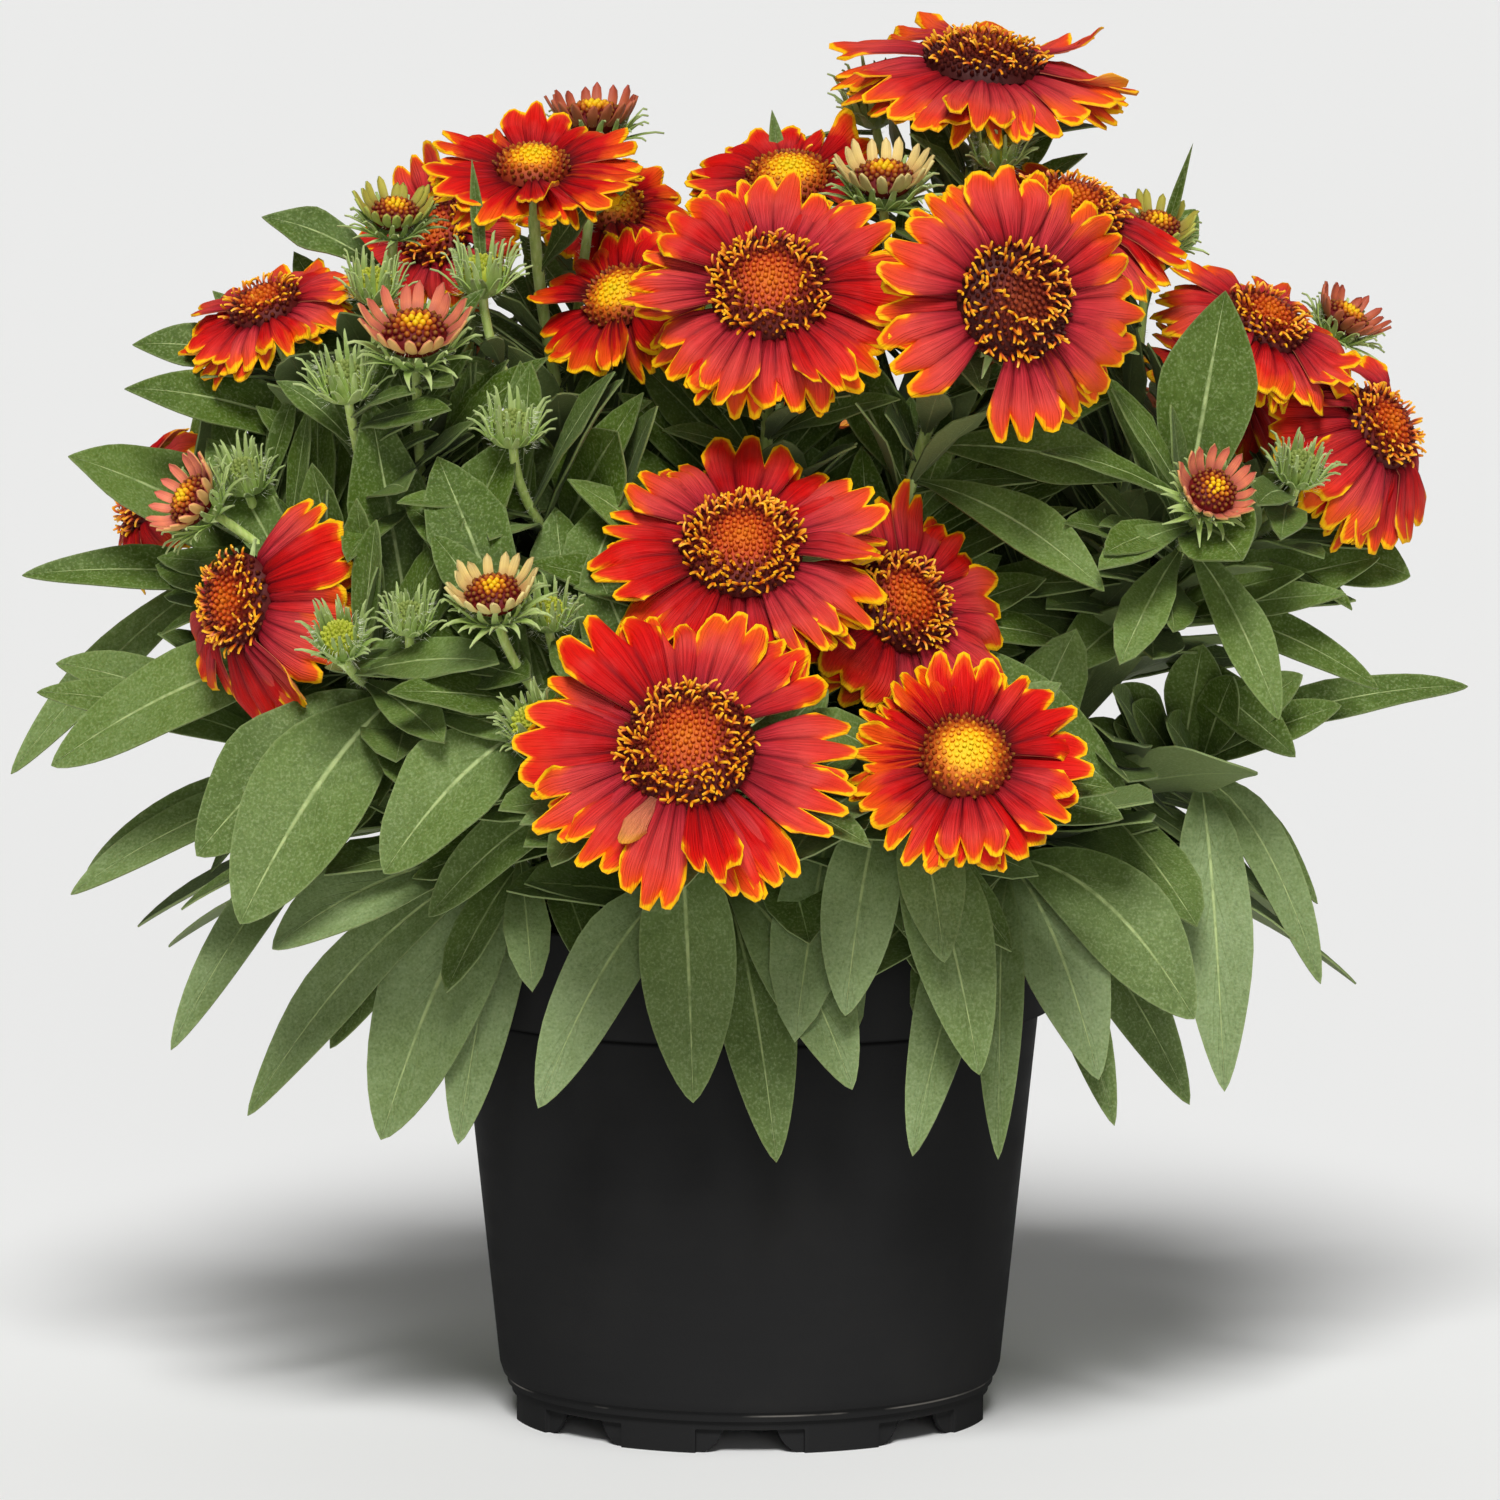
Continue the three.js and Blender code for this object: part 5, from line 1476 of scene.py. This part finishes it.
def blade_corners(shape, head, plan):
    """A pointed bract in a head's frame: a profile of radius and height along it."""
    u = shape.corners[:, 0]
    v = shape.corners[:, 1]

    def profile(share):
        return np.array([np.interp(share, plan["shares"], plan[line]) for line in ("radii", "heights")])

    radial, height = profile(v)
    half = plan["half_width"] * (0.55 + plan["belly"] * v) * np.clip(1 - v, 0, 1) ** plan["taper"] + 0.1
    x = u * half
    run, rise = profile(v + PROFILE_STEP) - profile(v - PROFILE_STEP)
    norm = np.hypot(run, rise) + 1e-9
    lift = shape.corners[:, 2] * plan["thickness"] + np.abs(u) ** 2 * plan["hollow"]
    radial = radial - lift * rise / norm
    height = height + lift * run / norm
    angle = plan["angle"] + plan["swing"] * v ** 2
    forward = radial * np.cos(angle) + x * np.sin(angle)
    sideways = radial * np.sin(angle) - x * np.cos(angle)
    return head.out(np.column_stack([forward, sideways, height]))


def add_bracts(piece, head, count, plan, rng, finish, turn=0.0, shape=BRACT):
    """A ring of blades round a head, each a little different."""
    for index in range(count):
        sway = rng.uniform(1 - plan["sway"], 1 + plan["sway"])
        own = dict(plan)
        own["angle"] = turn + (index + rng.uniform(-0.18, 0.18)) * 2 * math.pi / count
        own["swing"] = rng.uniform(-1, 1) * plan["sway"]
        own["radii"] = [r * mix(1, sway, place) for r, place in zip(plan["radii"], plan["shares"])]
        own["heights"] = [h * mix(1, sway, place) for h, place in zip(plan["heights"], plan["shares"])]
        corners = blade_corners(shape, head, own)
        piece.laid(shape, corners, finish, rng.uniform())


def add_head_hairs(piece, head, radius, low, high, count, length, rng):
    """Hairs that stand out of a round head between two heights."""
    angle = rng.uniform(0, 2 * math.pi, count)
    height = rng.uniform(low, high, count)
    outward = np.column_stack([np.cos(angle), np.sin(angle), rng.uniform(-0.5, 0.6, count)])
    local = np.column_stack([radius * np.cos(angle), radius * np.sin(angle), height])
    directions = unit(outward) @ head.axes
    add_hairs(piece, head.out(local), directions, rng.uniform(0.5, 1, count) * length, rng)


def add_cup(piece, bloom, rng):
    """The receptacle and two rows of bracts under a bloom."""
    head = bloom["head"]
    plate = bloom["disc_radius"] + PLATE_MARGIN
    top = -0.8 / math.cos(math.radians(bloom["droop"])) - GAP
    slope = math.radians(max(0, bloom["droop"] + RAY_LAYER + RAY_SWAY))
    hub = DOME.corners * np.array([plate * 0.62, plate * 0.62, CUP_DEPTH * 0.62])
    hub[:, 2] = np.minimum(hub[:, 2], 0) + top
    piece.bent(DOME, head.out(hub), BRACT_GREEN, tone=0.4)
    reach = bloom["radius"] * CUP_REACH
    tip = (plate + reach * math.cos(slope), top - reach * math.sin(slope) - 1)
    rows = ((12, tip[0], tip[1], 0.0), (11, plate * 0.86, top - 2.4, 0.27))
    for count, tip_radius, tip_height, turn in rows:
        plan = {
            "shares": [0, 0.3, 0.65, 1], "radii": [2, plate * 0.42, plate * 0.74, tip_radius],
            "heights": [top - CUP_DEPTH * 0.62, top - CUP_DEPTH * 0.5, top - 2.2, tip_height],
            "half_width": plate * 0.22, "belly": 0.5, "taper": 0.9, "sway": 0.12, "hollow": 0.5,
            "thickness": 0.5,
        }
        add_bracts(piece, head, count, plan, rng, BRACT_GREEN, turn)
    add_head_hairs(piece, head, plate * 0.6, top - CUP_DEPTH * 0.7, top - 1.5, 130, 2.2, rng)


def add_bud_bracts(piece, head, r, count, radii, heights, width, sway, rng):
    """One row of bracts round a bud, from a profile in shares of the bud's radius."""
    plan = {
        "shares": BUD_PROFILE, "radii": [r * share for share in radii],
        "heights": [r * share for share in heights], "half_width": r * width, "belly": 0, "taper": 0.8,
        "sway": sway, "hollow": 0.2, "thickness": 0.34,
    }
    add_bracts(piece, head, count, plan, rng, BRACT_GREEN, count * 0.1 + heights[3])


def add_bud_florets(piece, head, count, radius, height, size, stretch, finish, rng, lift=0, aged=1):
    """A dome of unopened florets, each a small ball."""
    share, angle = floret_places(count)
    place, outward, around, upward = disc_frames(share, angle, radius, height)
    axes = [(way * size) @ head.axes for way in (-around, outward, upward * stretch)]
    tones = rng.uniform(0, 1, count)
    piece.stamped(BALL, head.out(place + np.array([0, 0, lift])), *axes, finish, tones, share * aged)


def add_closed_bud(piece, bud, rng):
    """A ball of unopened florets in three rows of hooked bracts."""
    head = bud["head"]
    r = bud["radius"]
    finish = FLORETS[bud["colour"]]
    core = DOME.corners * np.array([r * 0.56, r * 0.56, r * 0.52])
    piece.bent(DOME, head.out(core), finish, tone=0.2, along=0.5)
    add_bud_florets(piece, head, 56, r * 0.52, r * 0.5, r * 0.085, 1.5, finish, rng)
    for count, belly, spread, top, width in CLOSED_ROWS:
        radii = (0.2, 0.56, belly, mix(belly, spread, 0.45), spread)
        heights = (-0.58, -0.38, mix(-0.38, top, 0.5), top, top + 0.06)
        add_bud_bracts(piece, head, r, count, radii, heights, width, 0.26, rng)
    add_head_hairs(piece, head, r * 0.66, -r * 0.5, r * 0.6, 200, 3.0, rng)


def add_half_open_bud(piece, bud, rng):
    """Three rows of spreading bracts, and the crown above them."""
    head = bud["head"]
    r = bud["radius"]
    core = DOME.corners * np.array([r * 0.6, r * 0.6, r * 0.4])
    core[:, 2] = np.minimum(core[:, 2], 0)
    piece.bent(DOME, head.out(core), BRACT_GREEN, tone=0.3)
    for count, spread, top, width in HALF_OPEN_ROWS:
        radii = (0.2, 0.54, 0.84, mix(0.84, spread, 0.6), spread)
        heights = (-0.65, -0.5, mix(-0.45, top, 0.5), top, top - 0.04)
        add_bud_bracts(piece, head, r, count, radii, heights, width, 0.2, rng)
    add_head_hairs(piece, head, r * 0.7, -r * 0.55, r * 0.05, 150, 2.2, rng)
    make_crown(bud, rng)


def make_crown(bud, rng):
    """The short rays of a half-open bud round a small yellow disc, as a piece of their own."""
    head = bud["head"]
    r = bud["radius"]
    crown = Piece(f"bud_{bud['key']:02d}_crown")
    disc = DOME.corners * np.array([r * 0.66, r * 0.66, r * 0.36])
    crown.bent(DOME, head.out(disc), FLORETS["young"], tone=0.5, along=1.0)
    plan = {
        "shares": [0, 0.5, 1], "radii": [r * 0.56, r * 0.92, r * 1.1],
        "heights": [-r * 0.1, r * 0.2, r * 0.56], "half_width": r * 0.15, "belly": 0.9, "taper": 0.42,
        "sway": 0.1, "hollow": 0.35, "thickness": 0.5,
    }
    add_bracts(crown, head, 18, plan, rng, CROWNS[bud["colour"]], 0.1, SMALL_RAY)
    add_bud_florets(crown, head, 60, r * 0.62, r * 0.32, r * 0.08, 1.4, FLORETS["young"], rng, r * 0.06, 1.3)
    settle(crown.made(), "petals")


# Leaves are widest past their middle. Their tips are sharper the higher they reach, and their tone carries
# painted light: lighter low down, where less light falls, and darker high up, as painted shade.
LEAF_WIDEST = 0.62
LEAF_BREADTH = 1.08
LEAF_STALK = 0.75
LEAF_SHARP_Z = (200, 300)
LEAF_ROUND = (2.0, 1.3)
LEAF_FULL = (0.75, 0.95)
LEAF_PAINTED_LIGHT_Z = (110, 160, 230, 300)
LEAF_PAINTED_LIGHT = (1.3, 1.0, 0.84, 0.45)


def leaf_corners(shape, root, leaf, plan):
    """A copy of the blade laid along a leaf's arched rib, folded, waved and a little twisted."""
    u = shape.corners[:, 0]
    v = shape.corners[:, 1][:, None]
    tip = leaf["tip"]
    middle = (root + tip) / 2 + np.array([0, 0, leaf["arch"]])
    rib = (1 - v) ** 2 * root + 2 * v * (1 - v) * middle + v ** 2 * tip
    tangent = unit(2 * (1 - v) * (middle - root) + 2 * v * (tip - middle))
    across = unit(np.cross(tip - root, leaf["look"]))
    face = unit(np.cross(across, tangent))
    turn = math.radians(plan["twist"]) * (v - 0.3)
    wide = np.cos(turn) * across + np.sin(turn) * face
    face = np.cross(wide, tangent)
    share = v[:, 0]
    rise = np.sin(np.pi / 2 * np.minimum(share / LEAF_WIDEST, 1)) ** 1.3
    past = np.clip((share - LEAF_WIDEST) / (1 - LEAF_WIDEST), 0, 1)
    swell = LEAF_BREADTH * np.where(share < LEAF_WIDEST, rise, (1 - past ** plan["round"]) ** plan["full"])
    half = np.maximum(leaf["width"] / 2 * swell, LEAF_STALK * (1 - share) ** 0.5)
    cycle = share * plan["waves"] * 2 * math.pi + plan["phase"]
    half = half * (1 + plan["ripple"] * np.sin(cycle) * 0.5)
    fold = plan["fold"] * half * np.abs(u) ** 1.3
    wave = plan["wave"] * np.sin(cycle + np.sign(u)) * u * u * np.sin(np.pi * share)
    thick = shape.corners[:, 2] * (0.55 + 0.9 * np.exp(-(u / 0.12) ** 2) * (1 - share))
    ridge = -0.3 * np.exp(-(u / 0.1) ** 2) * (1 - share)
    lift = fold + wave + thick + ridge
    edge = np.minimum((1 - np.abs(u)) * half, (1 - share) * np.linalg.norm(tip - root))
    return rib + (u * half)[:, None] * wide + lift[:, None] * face, edge


def add_leaf(piece, leaf, rng, shape=LEAF):
    root = along(leaf["rail"].fine, leaf["share"])[0]
    plan = {
        "twist": rng.uniform(-16, 16), "fold": rng.uniform(0.06, 0.26),
        "wave": rng.uniform(0.02, 0.07) * leaf["width"], "waves": rng.uniform(1.4, 2.6),
        "phase": rng.uniform(0, 6.28), "ripple": rng.uniform(0, 0.07),
        "round": np.interp(leaf["tip"][2], LEAF_SHARP_Z, LEAF_ROUND) + rng.uniform(-0.15, 0.15),
        "full": np.interp(leaf["tip"][2], LEAF_SHARP_Z, LEAF_FULL),
    }
    # Painted light: low leaves are lightened and high ones darkened by the height of their tip.
    shade = np.interp(leaf["tip"][2], LEAF_PAINTED_LIGHT_Z, LEAF_PAINTED_LIGHT)
    corners, edge = leaf_corners(shape, root, leaf, plan)
    piece.laid(shape, corners, LEAF_GREEN, rng.uniform(0.2, 0.8) * shade, edge=edge)


def make_growth(stem):
    """A stem with its branches, leaves, cups, buds and hairs."""
    rng = np.random.default_rng(SEED * 11 + stem["number"])
    piece = Piece(f"stem_{stem['number']:02d}_growth")
    add_stem(piece, stem["rails"][0], STEM_RADII, rng, stem["root"])
    for rail in stem["rails"][1:]:
        add_stem(piece, rail, BRANCH_RADII, rng)
    for bloom in stem["blooms"]:
        add_cup(piece, bloom, rng)
    for bud in stem["buds"]:
        if bud["name"] == "closed":
            add_closed_bud(piece, bud, rng)
        else:
            add_half_open_bud(piece, bud, rng)
    for leaf in stem["leaves"]:
        add_leaf(piece, leaf, rng)
    for leaf in stem["small_leaves"]:
        add_leaf(piece, leaf, rng, SMALL_LEAF)
    settle(piece.made(), "foliage", f"stem_{stem['number']:02d}")


# ---------------------------------------------------------------- pot and soil

# The shell's profile, from the middle of its floor out, up, over the lip and back down inside: radius
# and height.
POT_SIDES = 128
POT_RINGS = [
    (20, 7), (63.4, 7), (63.4, 0), (66, 0), (66, 9.8), (66.7, 10.2), (66.7, 10.9), (68.4, 11.8),
    (69.3, 14.5), (79.6, 112.6), (79.6, 113.9), (83.6, 114), (84, 114.6), (84.9, 139.6), (85, 141.4),
    (84.6, 142), (83.2, 142), (82.8, 141.5), (81.8, 116.2), (77.8, 111), (67.2, 9), (20, 9),
]

# Notches that taper towards their top, each in a shallow pocket of the skirt: widths at even heights.
NOTCH_COUNT = 8
NOTCH_HEIGHT = 6.4
NOTCH_START = 2
NOTCH_WIDTHS = (30, 28, 23, 19.5, 17.5, 16, 15)
NOTCH_DEPTH = (60, 70)
POCKET_WIDTHS = (30,) * 7
POCKET_HEIGHT = 6.6
POCKET_DEPTH = (64.7, 68)
FOOT_RADIUS = 66
POT_EDGE = 0.3


# The soil: its walls are a height and the share of the radius left there, and its lumps are fineness,
# layer of noise and depth.
SOIL_TOP_Z = 127
SOIL_RADIUS = 77.6
SOIL_WALLS = ((111, 0.992), (GAP + 9, 0.862))
SOIL_LUMPS = ((0.03, 1, 1.2), (0.22, 5, 1.3), (0.7, 9, 0.7))
SOIL_GRID = 90
SOIL_CRUMBS = 1000


def drawn_rings(name, sides, rings):
    """A round closed body drawn up ring by ring from its radii and heights."""
    start_fresh()
    radius, height = rings[0]
    bpy.ops.mesh.primitive_circle_add(vertices=sides, radius=radius * MM, location=(0, 0, height * MM))
    body = bpy.context.object
    body.name = name
    bpy.ops.object.transform_apply(location=True)
    bpy.ops.object.mode_set(mode="EDIT")
    bpy.ops.mesh.select_all(action="SELECT")
    for (here, low), (there, high) in zip(rings, rings[1:]):
        bpy.ops.mesh.extrude_region_move(TRANSFORM_OT_translate={"value": (0, 0, (high - low) * MM)})
        grow = there / here
        bpy.ops.transform.resize(value=(grow, grow, 1), center_override=(0, 0, high * MM))
    bpy.ops.mesh.edge_face_add()
    bpy.ops.mesh.select_all(action="DESELECT")
    bpy.ops.object.mode_set(mode="OBJECT")
    return body


def close_and_face_out(body):
    select_only(body)
    bpy.ops.object.mode_set(mode="EDIT")
    bpy.ops.mesh.select_all(action="DESELECT")
    bpy.ops.mesh.select_non_manifold()
    bpy.ops.mesh.fill_holes(sides=0)
    bpy.ops.mesh.select_all(action="SELECT")
    bpy.ops.mesh.normals_make_consistent(inside=False)
    bpy.ops.object.mode_set(mode="OBJECT")


def apply_modifier(body, kind, **settings):
    select_only(body)
    modifier = body.modifiers.new(kind.lower(), kind)
    for setting, value in settings.items():
        setattr(modifier, setting, value)
    bpy.ops.object.modifier_apply(modifier=modifier.name)


def cutting_block(name, widths, top, depth, round_off, index):
    """A block curved with the skirt, from its widths at even heights, that cuts a hollow out of the foot."""
    start_fresh()
    bpy.ops.mesh.primitive_cube_add(size=1)
    block = bpy.context.object
    block.name = name
    bpy.ops.object.mode_set(mode="EDIT")
    bpy.ops.mesh.select_all(action="SELECT")
    bpy.ops.mesh.subdivide(number_cuts=len(widths) - 2)
    bpy.ops.object.mode_set(mode="OBJECT")
    turn = index * 2 * math.pi / NOTCH_COUNT
    for corner in block.data.vertices:
        x, y, z = corner.co
        width = np.interp(z + 0.5, np.linspace(0, 1, len(widths)), widths)
        angle = turn + x * width / FOOT_RADIUS
        radius = mix(depth[1], depth[0], y + 0.5)
        height = mix(-NOTCH_START, top, z + 0.5)
        corner.co = Vector((radius * math.sin(angle), -radius * math.cos(angle), height)) * MM
    apply_modifier(block, "BEVEL", width=round_off * MM, segments=2, limit_method="ANGLE",
                   angle_limit=math.radians(50))
    return block


def make_pot():
    """The shell, its foot cut by the pockets and notches, with its edges rounded off."""
    pot = drawn_rings("nursery_pot", POT_SIDES, POT_RINGS)
    close_and_face_out(pot)
    for index in range(NOTCH_COUNT):
        pocket = cutting_block("pocket", POCKET_WIDTHS, POCKET_HEIGHT, POCKET_DEPTH, 0.5, index)
        notch = cutting_block("notch", NOTCH_WIDTHS, NOTCH_HEIGHT, NOTCH_DEPTH, 0.3, index)
        for block in (pocket, notch):
            apply_modifier(pot, "BOOLEAN", object=block, operation="DIFFERENCE", solver="EXACT")
            bpy.data.objects.remove(block)
    apply_modifier(pot, "BEVEL", width=POT_EDGE * MM, segments=2, limit_method="ANGLE",
                   angle_limit=math.radians(40))
    pot.data.materials.clear()
    pot.data.materials.append(POT_BLACK)
    bpy.ops.object.shade_smooth_by_angle(angle=math.radians(35))
    settle(pot, "pot_plastic", "pot")


def soil_height(x, y):
    """The rough top of the soil, in millimetres, at a place in millimetres."""
    height = SOIL_TOP_Z
    for fineness, layer, depth in SOIL_LUMPS:
        height += depth * noise.noise(Vector((x * fineness, y * fineness, layer)))
    return height


def make_soil():
    """A rough round top that is drawn down to the pot's floor."""
    start_fresh()
    bpy.ops.mesh.primitive_grid_add(x_subdivisions=SOIL_GRID, y_subdivisions=SOIL_GRID, size=2)
    soil = bpy.context.object
    soil.name = "potting_soil"
    for corner in soil.data.vertices:
        x, y, _ = corner.co
        across, back = x * math.sqrt(1 - y * y / 2), y * math.sqrt(1 - x * x / 2)
        x, y = across * SOIL_RADIUS, back * SOIL_RADIUS
        corner.co = Vector((x, y, soil_height(x, y))) * MM
    bpy.ops.object.mode_set(mode="EDIT")
    bpy.ops.mesh.select_all(action="DESELECT")
    bpy.ops.mesh.select_non_manifold()
    for height, shrink in SOIL_WALLS:
        bpy.ops.mesh.extrude_region_move(TRANSFORM_OT_translate={"value": (0, 0, -5 * MM)})
        bpy.ops.transform.resize(value=(shrink, shrink, 0), center_override=(0, 0, height * MM))
    bpy.ops.mesh.fill_holes(sides=0)
    bpy.ops.mesh.select_all(action="SELECT")
    bpy.ops.mesh.normals_make_consistent(inside=False)
    bpy.ops.object.mode_set(mode="OBJECT")
    tone = soil.data.attributes.new("tone", "FLOAT", "POINT")
    values = [0.5 + 0.5 * noise.noise(corner.co / MM * 0.3) for corner in soil.data.vertices]
    tone.data.foreach_set("value", values)
    soil.data.materials.append(SOIL_BROWN)
    bpy.ops.object.shade_smooth_by_angle(angle=math.radians(60))
    settle(soil, "soil", "soil")


def make_crumbs():
    """Loose lumps and bits of bark on the soil."""
    rng = np.random.default_rng(SEED * 17)
    piece = Piece("soil_crumbs")
    share = np.sqrt(rng.uniform(0, 1, SOIL_CRUMBS)) * (SOIL_RADIUS - 3)
    angle = rng.uniform(0, 2 * math.pi, SOIL_CRUMBS)
    x = share * np.cos(angle)
    y = share * np.sin(angle)
    z = np.array([soil_height(*place) for place in zip(x, y)])
    size = rng.uniform(0.5, 1.9, SOIL_CRUMBS) ** 1.3
    ways = rng.normal(0, 1, (SOIL_CRUMBS, 3, 3))
    first = unit(ways[:, 0])
    second = unit(np.cross(first, ways[:, 1]))
    third = np.cross(first, second)
    stretch = rng.uniform(0.4, 1.5, (SOIL_CRUMBS, 3, 1)) * size[:, None, None]
    piece.stamped(CRUMB, np.column_stack([x, y, z]), first * stretch[:, 0], second * stretch[:, 1],
                  third * stretch[:, 2], SOIL_BROWN, rng.uniform(0, 1, SOIL_CRUMBS), np.zeros(SOIL_CRUMBS))
    settle(piece.made(20), "soil")


# ---------------------------------------------------------------- stage, light and camera

CAMERA_DISTANCE = 2500
CAMERA_AIM_Z = 184
CAMERA_ELEVATION = 6.5
CAMERA_LENS = 218.1

FLOOR_METRES = 60

# Lights: name, azimuth from the front towards +X, elevation, spread, power.
LIGHTS = (("key", -2, 48, 22, 3.2), ("fill", 6, 8, 26, 0.64), ("back", 165, 60, 60, 0.3))
WORLD_POWER = 0.05


def make_stage():
    start_fresh()
    bpy.ops.mesh.primitive_plane_add(size=FLOOR_METRES)
    floor = bpy.context.object
    floor.name = "floor"
    coat = Finish("pale floor", roughness=1.0, specular_ior_level=0.0, base_color=paint(244, 244, 243))
    floor.data.materials.append(coat.material)


def soft_light(name, azimuth, elevation, spread, power):
    """A broad soft light far away, from a side and height given in degrees."""
    light = bpy.data.lights.new(name, "SUN")
    light.energy = power
    light.angle = math.radians(spread)
    lamp = bpy.data.objects.new(name, light)
    azimuth, elevation = math.radians(azimuth), math.radians(elevation)
    level = math.cos(elevation)
    place = Vector((math.sin(azimuth) * level, -math.cos(azimuth) * level, math.sin(elevation)))
    lamp.location = place
    lamp.rotation_mode = "QUATERNION"
    lamp.rotation_quaternion = place.to_track_quat("Z", "Y")
    bpy.context.scene.collection.objects.link(lamp)


def make_lights():
    world = bpy.data.worlds.new("studio")
    world.use_nodes = True
    background = world.node_tree.nodes["Background"]
    background.inputs["Color"].default_value = (1, 1, 1, 1)
    background.inputs["Strength"].default_value = WORLD_POWER
    bpy.context.scene.world = world
    for light in LIGHTS:
        soft_light(*light)


def make_camera():
    elevation = math.radians(CAMERA_ELEVATION)
    camera = bpy.data.cameras.new("camera")
    camera.lens = CAMERA_LENS
    camera.sensor_width = 36
    eye = bpy.data.objects.new("camera", camera)
    distance = CAMERA_DISTANCE * MM
    eye.location = (0, -distance * math.cos(elevation), CAMERA_AIM_Z * MM + distance * math.sin(elevation))
    eye.rotation_euler = (math.radians(90) - elevation, 0, 0)
    bpy.context.scene.collection.objects.link(eye)
    bpy.context.scene.camera = eye


# ---------------------------------------------------------------- the scene

all_blooms, all_buds = lay_out_heads()
all_stems = lay_out_stems(all_blooms, all_buds)
fit_leaves(all_stems, lay_out_leaves(all_stems))
grow_inner_leaves(all_stems, all_blooms, all_buds)

make_camera()
make_lights()
make_stage()
make_pot()
make_soil()
make_crumbs()
for one_bloom in all_blooms:
    make_petals(one_bloom)
    make_florets(one_bloom)
for one_stem in all_stems.values():
    make_growth(one_stem)
bpy.context.scene.view_settings.view_transform = "Standard"
